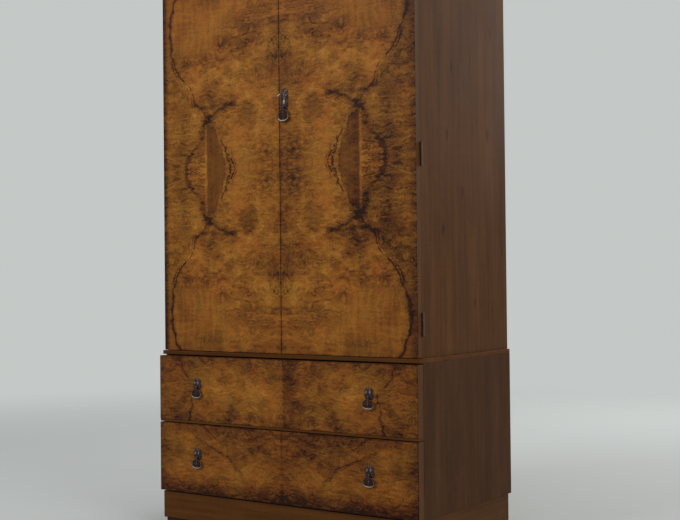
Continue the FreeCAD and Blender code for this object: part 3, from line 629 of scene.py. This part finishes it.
def grain_colour(paint, across, depth, along, kind, ring=9, knots=()):
    """Streaks along the board that bend round its knots, with pores: a colour and a height."""
    fleck = 1.6
    sway = (paint.noise(across, depth, along, 260, 2) - 0.5) * 14
    smudge = 0
    for place, radii in knots:
        side = (across - place[0]) / radii[0]
        rise = (along - place[1]) / radii[1]
        near = (side * side + rise * rise).root().ramp(3.2, 0.2)
        sway = sway + near * near * side.ramp(-1, 1, -radii[0], radii[0])
        smudge = near * near * near * 0.34 + smudge
    clouds = paint.noise(across, depth, along * 0.35, 70, 3, 0.55) - 0.5
    bands = paint.noise(across + sway, depth, along * 0.07, ring * 4, 2, 0.5) - 0.5
    streaks = paint.noise(across + sway, depth, along * 0.035, ring, 4, 0.62) - 0.5
    fibre = paint.noise(across + sway, depth, along * 0.03, fleck, 2, 0.6) - 0.5
    pores = paint.noise(across, depth, along * 0.06, fleck, 2, 0.5).ramp(0.62, 0.8)
    ripple = paint.noise(across * 0.3, depth, along, 9, 2, 0.5) - 0.5
    tone = streaks * 0.55 + bands * 0.36 + clouds * 0.4 + fibre * 0.3 + ripple * 0.12
    tone = tone - pores * 0.14 + 0.5 - smudge
    stops = [(share, *shade) for share, shade in zip(wood_shares, wood_shades[kind])]
    return tone.colours(stops), streaks * 0.5 - pores


def straight_wood(name, along, kind, roughness=0.45, ring=9, knots=()):
    """A plain board whose grain runs along x, y or z."""
    paint = Paint(name, roughness, specular=0.04)
    across, depth, length = {
        "x": (paint.z, paint.y, paint.x), "y": (paint.z, paint.x, paint.y), "z": (paint.y, paint.x, paint.z),
    }[along]
    colour, height = grain_colour(paint, across, depth, length, kind, ring, knots)
    dull = paint.clouds(110, 3)
    return paint.finish(colour, dull * 0.24 + (roughness - 0.12), height, 0.1 * mm)


# Metals

bronze_stops = (
    (0, 52, 41, 42), (0.35, 84, 70, 68), (0.6, 118, 105, 100), (0.8, 156, 145, 136), (1, 192, 184, 174),
)


def worn_metal(name, deep, bright, roughness, size):
    """Dark patinated metal, paler where its surface stands out, with small spots."""
    paint = Paint(name, roughness, metallic=0.9)
    proud = add_node(paint.tree, "NewGeometry", {}, "Pointiness").ramp(0.49, 0.56)
    cloud = paint.clouds(size, 4, 0.6)
    spots = paint.clouds(size * 0.22, 2, 0.6)
    share = proud * 0.6 + cloud.ramp(0.35, 0.75) * 0.35 + spots.ramp(0.6, 0.75) * 0.3
    colour = paint.mix(share, linear(*deep), linear(*bright))
    return paint.finish(colour, cloud * 0.3 + (roughness - 0.15), cloud * 0.6 + spots * 0.4, 0.05 * mm)


def worn_bronze():
    """The handles' dark bronze, rubbed pale and bright where hands have worn it."""
    paint = Paint("antique_bronze", 0.4, metallic=1)
    rubbed = add_node(paint.tree, "Attribute", {}, "Fac", attribute_name="wear")
    cloud = paint.clouds(2.4, 3, 0.6)
    spots = paint.clouds(0.7, 2, 0.6)
    share = (rubbed + (cloud - 0.5) * 0.5 + (spots - 0.5) * 0.3).ramp(0.2, 0.9)
    roughness = 0.6 - share * 0.2 + (cloud - 0.5) * 0.2
    return paint.finish(share.colours(bronze_stops), roughness, cloud * 0.5 + spots * 0.5, 0.06 * mm)


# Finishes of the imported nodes: one for each slot, and its own for some nodes.

slots = {
    "walnut": straight_wood("walnut_upright", "z", "side"),
    "dark_wood": straight_wood("stained_softwood", "x", "dark", 0.7),
    "inner_wood": straight_wood("inner_wood", "x", "inner", 0.6),
    "back_plywood": straight_wood("back_plywood", "z", "plywood", 0.7, 14),
    "drawer_wood": straight_wood("drawer_wood", "y", "drawer", 0.65),
    "drawer_plywood": straight_wood("drawer_plywood", "x", "plywood", 0.7, 14),
    "antique_brass": worn_bronze(),
    "brass": worn_metal("brass", (34, 25, 20), (96, 72, 58), 0.5, 7),
    "steel": worn_metal("steel", (70, 68, 66), (160, 158, 154), 0.4, 9),
    "burr_walnut": door_veneer(),
}
shared_finishes = (
    (
        straight_wood("walnut_upper_side", "z", "side", knots=side_knots),
        ("upper_side_left", "upper_side_right"),
    ),
    (straight_wood("walnut_level", "x", "side"), ("upper_top_board",)),
    (straight_wood("plinth_level", "x", "plinth"), ("lower_top_board", "top_drawer_bead", "plinth_front")),
    (straight_wood("walnut_lower_side_painted_shade", "z", "lower_side"), ("lower_side_left", "lower_side_right")),
    (straight_wood("plinth_deep", "y", "side"), ("plinth_side_left", "plinth_side_right")),
    (top_drawer_veneer(), ("top_drawer_front",)),
    (bottom_drawer_veneer(), ("bottom_drawer_front",)),
)
own_finishes = {name: finish for finish, names in shared_finishes for name in names}
for name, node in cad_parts.items():
    for slot in node.material_slots:
        slot.material = own_finishes.get(name) or slots[slot.material.name.split(".")[0]]


def ease_arrises(node, width):
    """Rounds a board's sharp edges as a plane and a hundred years of hands would."""
    weld = node.modifiers.new("weld", "WELD")
    weld.merge_threshold = 0.01 * mm
    bevel = node.modifiers.new("arris", "BEVEL")
    bevel.width = width * mm
    bevel.segments = 2
    bevel.limit_method = "ANGLE"
    bevel.angle_limit = math.radians(50)
    bevel.harden_normals = True


# How round the edges of the boards that show are, in millimetres.
front_arris = 0.9
arrises = {
    0.6: ("drawer_divider_rail",),
    0.8: (
        "left_door_panel", "right_door_panel", "top_drawer_bead", "lower_side_left", "lower_side_right",
        "upper_side_left", "upper_side_right",
    ),
    1: (
        "plinth_front", "plinth_side_left", "plinth_side_right", "lower_shelf", "upper_shelf", "foot_blocks",
    ),
    1.2: ("lower_top_board", "upper_top_board"),
}
for width, names in arrises.items():
    for name in names:
        ease_arrises(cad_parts[name], width)


# The scene's own pieces


def add_object(name, data):
    thing = bpy.data.objects.new(name, data)
    bpy.context.scene.collection.objects.link(thing)
    return thing


def join_rows(mesh, rows, looped=False):
    """Joins rows of vertices into a skin, closed at its ends unless it runs back into itself."""
    pairs = list(zip(rows, rows[1:]))
    if looped:
        pairs.append((rows[-1], rows[0]))
    for first, second in pairs:
        for i in range(len(first)):
            j = (i + 1) % len(first)
            mesh.faces.new((first[i], first[j], second[j], second[i]))
    if not looped:
        mesh.faces.new(rows[0])
        mesh.faces.new(rows[-1])


def make_piece(mesh, name, material, body, node=None):
    """Makes one piece of the mesh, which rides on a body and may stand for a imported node."""
    data = bpy.data.meshes.new(name)
    mesh.to_mesh(data)
    mesh.free()
    piece = add_object(name, data)
    data.materials.append(material)
    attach(piece, body)
    if node is not None:
        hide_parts(node)


def drawer_front(drawer, width):
    """A drawer front with rounded arrises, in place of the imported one, whose bolt holes are hidden."""
    node = f"{drawer}_front"
    low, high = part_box(node)
    mesh = bmesh.new()
    bmesh.ops.create_cube(mesh, size=1)
    for vertex in mesh.verts:
        vertex.co = (low + high) / 2 + vertex.co * (high - low)
    rounded = bmesh.ops.bevel(
        mesh, geom=mesh.edges[:], offset=width * mm, segments=3, profile=0.5, affect="EDGES",
    )
    for face in rounded["faces"]:
        face.smooth = True
    make_piece(mesh, f"{drawer}_veneered_front", own_finishes[node], drawer, node)


# Handles. Each casting is drawn in millimetres about the pivot of its ring: x across, z up, and
# a height h that stands out of the face.

eye_radius = 2.2
ring_half_width = 16
outward = Vector((0, -1, 0))
origin = Vector()


def eased(points, share):
    """The value at a share along (share, value) points, eased from each to the next."""
    for (start, first), (end, second) in zip(points, points[1:]):
        if share <= end:
            part = max(0, (share - start) / (end - start))
            return first + (second - first) * (0.5 - 0.5 * math.cos(math.pi * part))
    return points[-1][1]


def smooth_path(points, steps):
    """Points along a smooth line through the given ones."""
    path = []
    last = len(points) - 1
    for i in range(last):
        before, here, there, after = (points[min(max(k, 0), last)] for k in (i - 1, i, i + 1, i + 2))
        for step in range(steps):
            t = step / steps
            path.append(0.5 * (
                2 * here + (there - before) * t + (2 * before - 5 * here + 4 * there - after) * t ** 2
                + (3 * here - before - 3 * there + after) * t ** 3
            ))
    return path + [points[-1]]


class Casting:
    """A metal casting made of closed skins, with a share of wear kept at each point."""

    def __init__(self, pivot, face):
        self.pivot = pivot
        self.standoff = face - pivot.y
        self.mesh = bmesh.new()
        self.wear = self.mesh.verts.layers.float.new("wear")

    def place(self, x, h, z):
        return Vector((x, self.standoff - h, z))

    def skin(self, rings, wears, looped=False):
        rows = []
        for ring, wear in zip(rings, wears):
            rows.append([self.mesh.verts.new((self.pivot + point) * mm) for point in ring])
            for vertex in rows[-1]:
                vertex[self.wear] = wear
        join_rows(self.mesh, rows, looped)

    def wire(self, path, radius, wear, sides=12, looped=False, depth=1):
        """A wire along a path; its radius and wear are numbers or follow the share along it."""
        rings, wears = [], []
        last = len(path) - 1
        turns = [math.tau * k / sides for k in range(sides)]
        for i, point in enumerate(path):
            ahead = path[(i + 1) % len(path)] if looped else path[min(i + 1, last)]
            behind = path[i - 1] if looped else path[max(i - 1, 0)]
            along = (ahead - behind).normalized()
            side = along.cross(outward).normalized()
            rise = side.cross(along)
            share = i / last
            reach = radius(share) if callable(radius) else radius
            rings.append([
                point + side * reach * math.cos(a) + rise * reach * depth * math.sin(a) for a in turns
            ])
            wears.append(wear(share) if callable(wear) else wear)
        self.skin(rings, wears, looped)

    def turned(self, centre, axis, profile, wear, sides=24, flutes=0, flute=0):
        """A turned form along x, z or h, from (place, radius) pairs, fluted if asked."""
        rings = []
        for along, radius in profile:
            ring = []
            for k in range(sides):
                angle = math.tau * k / sides
                reach = radius * (1 - flute * (0.5 + 0.5 * math.cos(flutes * angle)))
                a, b = reach * math.cos(angle), reach * math.sin(angle)
                offset = {"x": (along, a, b), "z": (a, b, along), "h": (a, -along, b)}[axis]
                ring.append(centre + Vector(offset))
            rings.append(ring)
        self.skin(rings, [wear] * len(rings))

    def bead(self, centre, length, radius, wear, sides=16, flutes=0, flute=0, axis="z"):
        """A rounded drop, with its half length along the axis and its radius across."""
        steps, blunt = 12, 0.15
        angles = [math.pi * (k + blunt) / (steps + 2 * blunt) for k in range(steps + 1)]
        profile = [(-length * math.cos(a), radius * math.sin(a)) for a in angles]
        self.turned(centre, axis, profile, wear, sides, flutes, flute)

    def beads(self, table, side):
        for x, h, z, *rest in table:
            self.bead(self.place(side * x, h, z), *rest)

    def leaf(self, foot, head, width, widths, lobes, rise=2.6, wear=0.48):
        """A lobed, veined leaf that lies on the face, its back flat."""
        rows, columns, tip = 14 * lobes, 18, 0.004
        rings = []
        for j in range(rows + 1):
            share = tip + (1 - 2 * tip) * j / rows
            notch = 1 - 0.2 * max(0, math.cos(math.tau * lobes * share)) ** 6
            half = width * eased(widths, share) * notch
            z = foot + share * (head - foot)
            ring = []
            for k in range(columns + 1):
                s = 2 * k / columns - 1
                edge = abs(s)
                body = 0.7 + rise * (1 - edge ** 3) * (1 - abs(2 * share - 1) ** 4 * 0.6)
                rib = 0.8 * math.exp(-(s / 0.16) ** 2)
                veins = 0.42 * math.sin(math.tau * (lobes * share - 0.9 * edge)) * edge * (1 - edge ** 4)
                ring.append(self.place(s * half, body + rib + veins, z))
            rings.append(ring + [self.place(half, 0, z), self.place(-half, 0, z)])
        self.skin(rings, [wear] * len(rings))

    def scroll(self, centre, side, outer, inner, turns, start, thick, wear, low=2.2, high=3.4):
        """A volute that winds in from its outer radius and rises as it goes, with a bead at its eye."""
        x, z = centre
        steps = round(26 * turns)
        path = []
        for i in range(steps + 1):
            share = i / steps
            angle = math.radians(start) + math.tau * turns * share
            reach = outer + (inner - outer) * share
            across, up = side * reach * math.cos(angle), reach * math.sin(angle)
            path.append(self.place(x + across, low + (high - low) * share, z + up))

        def taper(share):
            return thick * (0.55 + 0.45 * math.sin(math.pi * (0.25 + 0.6 * share)))

        self.wire(path, taper, wear, 10)
        self.bead(path[-1], thick * 1.05, thick * 1.15, wear, axis="h")

    def finish(self, name, body, node):
        """Makes the piece, which stands for its node and rides on the node's body."""
        bmesh.ops.recalc_face_normals(self.mesh, faces=self.mesh.faces)
        for vertex in self.mesh.verts:
            vertex.normal_update()
            vertex[self.wear] *= 0.45 + 0.55 * max(0, vertex.normal.dot(outward))
        for face in self.mesh.faces:
            face.smooth = True
        make_piece(self.mesh, name, slots["antique_brass"], body, node)


# The work on the plates. A leaf has its foot, head, width and lobes, and its half width along it as
# shares. A bead has its place across, out and up, its half length and radius, its wear, and then its
# sides, flutes and their depth. A scroll has its place across and up, its outer and inner radius, its
# turns and where they start, its thickness and wear, and how far out it starts and ends. The tall
# plate's tip is a path that leaves the leaf sideways.

drawer_leaf = (-7, 21, 25, 4)
drawer_leaf_shares = (
    (0, 0.2), (0.05, 0.38), (0.2, 0.48), (0.38, 0.42), (0.52, 0.45), (0.74, 0.5), (0.92, 0.3), (1, 0.04),
)
drawer_beads = ((0, 3.6, 15.4, 3.6, 1.6, 0.5, 20, 6, 0.14),)
drawer_side_beads = ((5, 3.2, 9.2, 4.9, 2.8, 0.62, 24, 9, 0.1), (5.4, 1.8, -1.8, 2.8, 1.5, 0.35, 16, 6, 0.14))
drawer_scrolls = (
    (8.6, 3.6, 2.9, 0.8, 1.2, -100, 1.2, 0.45), (6.8, 15.4, 3.1, 0.8, 1.1, -60, 1.2, 0.5, 2.4, 3.4),
)
drawer_boss = ((0.3, 2.2), (2.6, 2.4), (3.8, 2), (4.6, 1.2), (4.7, 0.1))
drawer_boss_rise = 4.6

door_leaf = (-8, 45, 24, 6)
door_leaf_shares = (
    (0, 0.2), (0.05, 0.38), (0.2, 0.48), (0.36, 0.44), (0.52, 0.47), (0.74, 0.5), (0.9, 0.38), (1, 0.06),
)
door_beads = (
    (2.2, 3.2, 11, 7.2, 3.6, 0.7, 28, 11, 0.08), (0.8, 3.2, 27.5, 5.2, 2.2, 0.55, 24, 8, 0.16),
    (0, 3, 38.4, 3.8, 1.7, 0.45, 20, 6, 0.14),
)
door_side_beads = (
    (5.6, 2.4, 16, 5.4, 1.9, 0.4, 20, 6, 0.14), (3.2, 2, 41, 1.9, 1.1, 0.45),
    (6.4, 1.8, -2, 3.2, 1.7, 0.35, 16, 6, 0.14),
)
door_scrolls = (
    (7.4, 5.6, 3.2, 0.9, 1.3, -120, 1.35, 0.4), (6.4, 23.6, 3.2, 0.9, 1.2, -70, 1.25, 0.45),
    (4.8, 33.4, 2.8, 0.8, 1.1, -50, 1.1, 0.5, 2.4, 3.6),
)
door_tip = (
    (-1.5, 2.4, 27.5), (-4, 3.6, 29.4), (-7, 5.2, 30.2), (-10, 6.4, 29.6), (-12.4, 7.2, 28), (-13.6, 7.6, 26),
)

plate_foot_bead = (0, 1.6, -4.6, 1.9, 1.5, 0.45, 16, 8, 0.1)
knuckle_profile = (
    (2.25, 0.6), (2.3, 2.2), (2.6, 2.7), (3.6, 2.7), (3.95, 2.3), (4, 1.5), (4.5, 1.45), (4.7, 0.9),
    (4.72, 0.1),
)
cheek_corners = ((-0.8, -2.2), (0.8, -2.2), (0.8, 2.4), (-0.8, 2.4))
cheek_heights = (0.4, 1.6, 2.8, 4, 5.2)
cheek_inset = 3.1
eye_profile = ((-2, 0.3), (-1.9, 1.9), (-1.4, 2.2), (1.4, 2.2), (1.9, 1.9), (2, 0.3))


def work_plate(casting, leaf, shares, beads, side_beads, scrolls):
    """A leaf with beads along its middle, pairs of beads and scrolls beside them, and the ring's knuckles."""
    foot, head, width, lobes = leaf
    casting.leaf(foot, head, width, shares, lobes)
    casting.beads((*beads, plate_foot_bead), 1)
    for side in (-1, 1):
        casting.beads(side_beads, side)
        for x, z, *rest in scrolls:
            casting.scroll((side * x, z), side, *rest)
        casting.turned(origin, "x", [(side * along, radius) for along, radius in knuckle_profile], 0.5)
        rings = [
            [casting.place(side * cheek_inset, h, 0) + Vector((x, 0, z)) for x, z in cheek_corners]
            for h in cheek_heights
        ]
        casting.skin(rings, [0.2] * len(rings))


def drawer_plate(casting):
    work_plate(casting, drawer_leaf, drawer_leaf_shares, drawer_beads, drawer_side_beads, drawer_scrolls)
    casting.turned(casting.place(0, 0, drawer_boss_rise), "h", drawer_boss, 0.3)


def door_plate(casting):
    work_plate(casting, door_leaf, door_leaf_shares, door_beads, door_side_beads, door_scrolls)
    path = smooth_path([casting.place(*point) for point in door_tip], 5)
    casting.wire(path, lambda share: 2.3 - 1.2 * share, lambda share: 0.35 + 0.55 * share, 14, depth=0.7)
    casting.bead(path[-1], 1.3, 1.5, 0.9, axis="h")


def drop_ring(casting, foot, half_width):
    """The oval ring: a thick worn rim, a thin inner rim, and a stem with scrolls and a palmette."""
    top = -4.8
    middle, rise = (top + foot) / 2, (top - foot) / 2
    centre = casting.standoff

    def oval(inset, count=72):
        """The ring's outline, narrow at the top and flatter at the foot."""
        outline = []
        for k in range(count):
            a = math.tau * k / count
            up, across = math.cos(a), math.sin(a)
            flat = abs(up) ** 0.8 if up < 0 else up
            full = abs(across) ** 0.9 * (1 - 0.13 * up)
            x = math.copysign(full, across) * (half_width - inset)
            outline.append(casting.place(x, centre, middle + math.copysign(flat, up) * (rise - inset)))
        return outline

    def swell(level, change):
        """A value that is least at the ring's top and most at its foot."""
        return lambda share: level - change * math.cos(math.tau * share)

    casting.wire(oval(1.6), swell(1.5, 0.3), swell(0.53, 0.16), 14, looped=True, depth=0.85)
    casting.wire(oval(3.7), 0.75, 0.25, 8, looped=True)
    casting.turned(origin, "x", eye_profile, 0.5)
    stem = (
        (-0.6, 1.3), (top + 1, 1.3), (top - 1.5, 1.7), (top - 2.5, 1), (middle + 3, 0.9), (middle + 1.8, 1.9),
        (middle - 1.8, 1.9), (middle - 3, 0.9), (foot + 5, 0.9), (foot + 3.8, 1.6), (foot + 2, 1.4),
        (foot + 1.6, 0.4),
    )
    casting.turned(origin, "z", stem, 0.5, 14)
    scrolls = (
        # place and outer radius as shares of the ring, inner radius, turns, start, thickness, wear
        (0.4, -0.28, 0.31, 1.2, 1.25, 200, 1.15, 0.28), (0.36, 0.34, 0.27, 1, 1.1, -200, 1, 0.28),
    )
    for side in (-1, 1):
        for across, up, outer, *rest in scrolls:
            place = (side * half_width * across, middle + rise * up)
            casting.scroll(place, side, half_width * outer, *rest, centre, centre + 0.3)
        for tilt in (28, 54):
            angle = math.radians(tilt)
            start = Vector((0, 0, foot + 3))
            reach = Vector((side * math.sin(angle) * 5.6, 0, math.cos(angle) * 5))
            petal = [start + reach * (k / 8) for k in range(9)]
            casting.wire(petal, lambda share: 0.4 + 0.8 * math.sin(math.pi * (0.1 + 0.8 * share)), 0.35, 8)


def ring_pivot(node):
    """The middle of a ring's eye."""
    low, high = box_in_mm(node)
    return Vector(((low.x + high.x) / 2, (low.y + high.y) / 2, high.z - eye_radius))


def cast_ring(name, body, face):
    """A ring, hung from the middle of its eye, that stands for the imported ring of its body."""
    pivot = ring_pivot(body)
    ring = Casting(pivot, face)
    drop_ring(ring, box_in_mm(body)[0].z - pivot.z, ring_half_width)
    ring.finish(name, body, body)


def handles():
    """Every handle plate and ring, as detailed castings that stand for the plain ones."""
    for drawer in ("top_drawer", "bottom_drawer"):
        drawer_front(drawer, front_arris)
        face = top_front_low.y
        pivots = [ring_pivot(f"{drawer}_{side}_ring") for side in ("left", "right")]
        plates = Casting(pivots[0], face)
        for pivot in pivots:
            plates.pivot = pivot
            drawer_plate(plates)
        plates.finish(f"{drawer}_cast_plates", drawer, f"{drawer}_handle_plates")
        for side in ("left", "right"):
            cast_ring(f"{drawer}_{side}_cast_ring", f"{drawer}_{side}_ring", face)
    plate = Casting(ring_pivot("door_handle_ring"), door_low.y)
    door_plate(plate)
    plate.finish("door_cast_plate", "right_door", "door_handle_plate")
    cast_ring("door_cast_ring", "door_handle_ring", door_low.y)


# Pins and screws


def arc_row(mesh, centre, radius, rise, start, end, count):
    """Vertices on an upright arc round a centre, lifted towards the back."""
    angles = [start + (end - start) * k / count for k in range(count + 1)]
    places = [centre + Vector((radius * math.cos(a), rise, radius * math.sin(a))) for a in angles]
    return [mesh.verts.new(place * mm) for place in places]


def small_pieces(mesh, name, slot, body):
    """Makes one piece of small things, with their slot's finish."""
    bmesh.ops.recalc_face_normals(mesh, faces=mesh.faces)
    make_piece(mesh, name, slots[slot], body)


def pin_places(low, high):
    """Places round the edges of a back panel, a hand's breadth apart."""
    margin, spacing = 8, 90
    width, height = high.x - low.x - 2 * margin, high.z - low.z - 2 * margin
    across, upward = round(width / spacing), round(height / spacing)
    places = []
    for z in (low.z + margin, high.z - margin):
        places += [(low.x + margin + width / across * k, z) for k in range(across + 1)]
    for x in (low.x + margin, high.x - margin):
        places += [(x, low.z + margin + height / upward * (k + 0.5)) for k in range(upward)]
    return places


def back_pins():
    """The small domed heads of the pins round the edges of the two back panels."""
    mesh = bmesh.new()
    dome = ((1.5, 0), (1.45, 0.18), (0.9, 0.42), (0.1, 0.5))
    turn, sides = math.tau * 0.9, 9
    for panel in ("upper_back_panel", "lower_back_panel"):
        low, high = box_in_mm(panel)
        for x, z in pin_places(low, high):
            centre = Vector((x, high.y, z))
            join_rows(mesh, [arc_row(mesh, centre, *level, 0, turn, sides) for level in dome])
    small_pieces(mesh, "back_panel_pins", "steel", "carcass")


def plate_screws():
    """The slotted screws at the corners of the plates of the left door's two bolts."""
    plate_height, plate_thickness = 56, 1.5
    inset_x, inset_z = 2.8, 6
    head_radius, half_slot = 2.1, 0.35
    turn, sides = math.tau * 0.95, 19
    mesh = bmesh.new()
    low, high = box_in_mm("left_door_bolt_housings")
    far_inset = plate_height - inset_z
    heights = [low.z + inset_z, low.z + far_inset, high.z - far_inset, high.z - inset_z]
    places = [(x, z) for x in (low.x + inset_x, high.x - inset_x) for z in heights]
    for k, (x, z) in enumerate(places):
        centre = Vector((x, low.y + plate_thickness, z))
        join_rows(mesh, [arc_row(mesh, centre, head_radius, rise, 0, turn, sides) for rise in (-0.2, 0.15)])
        for half in (0, 1):
            start = 0.9 * k + math.pi * half
            rows = []
            for radius, rise in ((head_radius, 0.1), (head_radius, 0.3), (1.7, 0.55), (1, 0.65)):
                gap = math.asin(half_slot / radius)
                rows.append(arc_row(mesh, centre, radius, rise, start + gap, start + math.pi - gap, 10))
            join_rows(mesh, rows)
    small_pieces(mesh, "bolt_plate_screws", "brass", "left_door")


# Floor, light and camera

pale = (196, 200, 198)
sky_strength = 0.5


def blend_shaders(tree, share, first, second, output):
    """Blends two shaders into the surface of a tree's output."""
    blend = add_node(tree, "MixShader", {0: share, 1: first, 2: second})
    tree.links.new(blend.socket, tree.nodes[output].inputs["Surface"])


def stage():
    """A pale floor that fades into the pale surroundings a few metres out."""
    bpy.ops.mesh.primitive_circle_add(vertices=96, radius=9, fill_type="NGON", location=(0, 0, 0))
    floor = bpy.context.object
    floor.name = "floor"
    paint = Paint("pale_floor", 0.85, specular=0.1)
    paint.give({"Base Color": linear(*pale)})
    near = Wire(paint.tree, paint.shader.outputs[0])
    far = add_node(paint.tree, "BsdfTransparent", {})
    distance = (paint.x * paint.x + paint.y * paint.y).root()
    blend_shaders(paint.tree, distance.ramp(1800, 4200), near, far, "Material Output")
    floor.data.materials.append(paint.material)


def surroundings(level):
    """Even white light from all round, in which the camera and mirrors see the pale colour."""
    world = bpy.data.worlds.new("studio")
    bpy.context.scene.world = world
    world.use_nodes = True
    tree = world.node_tree
    lit = add_node(tree, "Background", {"Color": (1, 1, 1, 1), "Strength": level})
    seen = add_node(tree, "Background", {"Color": linear(*pale), "Strength": 1})
    path = add_node(tree, "LightPath", {}).socket.node
    camera_ray, glossy, through = [
        Wire(tree, path.outputs[f"Is {kind} Ray"]) for kind in ("Camera", "Glossy", "Transmission")
    ]
    blend_shaders(tree, camera_ray.most(glossy).most(through), lit, seen, "World Output")


def lamp(name, place, target, size, power):
    """A square soft box that faces its target."""
    light = bpy.data.lights.new(name, "AREA")
    light.shape = "SQUARE"
    light.size = size
    light.energy = power
    holder = add_object(name, light)
    holder.location = place
    holder.rotation_mode = "QUATERNION"
    holder.rotation_quaternion = (Vector(target) - Vector(place)).to_track_quat("-Z", "Y")


def camera():
    """The photograph's viewpoint, and the lens that fits its edges."""
    place = Vector((1734.1, -2433.67, 621.7)) * mm
    heading, rise, roll = 35.014, 0.845, -0.576
    stand = Matrix.Translation(place)
    for degrees, axis in ((heading, "Z"), (90 + rise, "X"), (roll, "Z")):
        stand @= Matrix.Rotation(math.radians(degrees), 4, axis)
    lens = bpy.data.cameras.new("camera")
    lens.sensor_width = 36
    lens.lens = 63.4
    holder = add_object("camera", lens)
    holder.matrix_world = stand
    bpy.context.scene.camera = holder


handles()
back_pins()
plate_screws()
stage()
surroundings(sky_strength)
middle = (0, 0, 0.7)
lamp("key", (-1.6, -4.2, 3.2), middle, 2.2, 94)
lamp("fill", (4, -1.2, 1.8), middle, 2.4, 54)
lamp("back", (0.5, 3.6, 2.4), middle, 2.4, 60)
camera()

bpy.context.scene.view_settings.view_transform = "Standard"
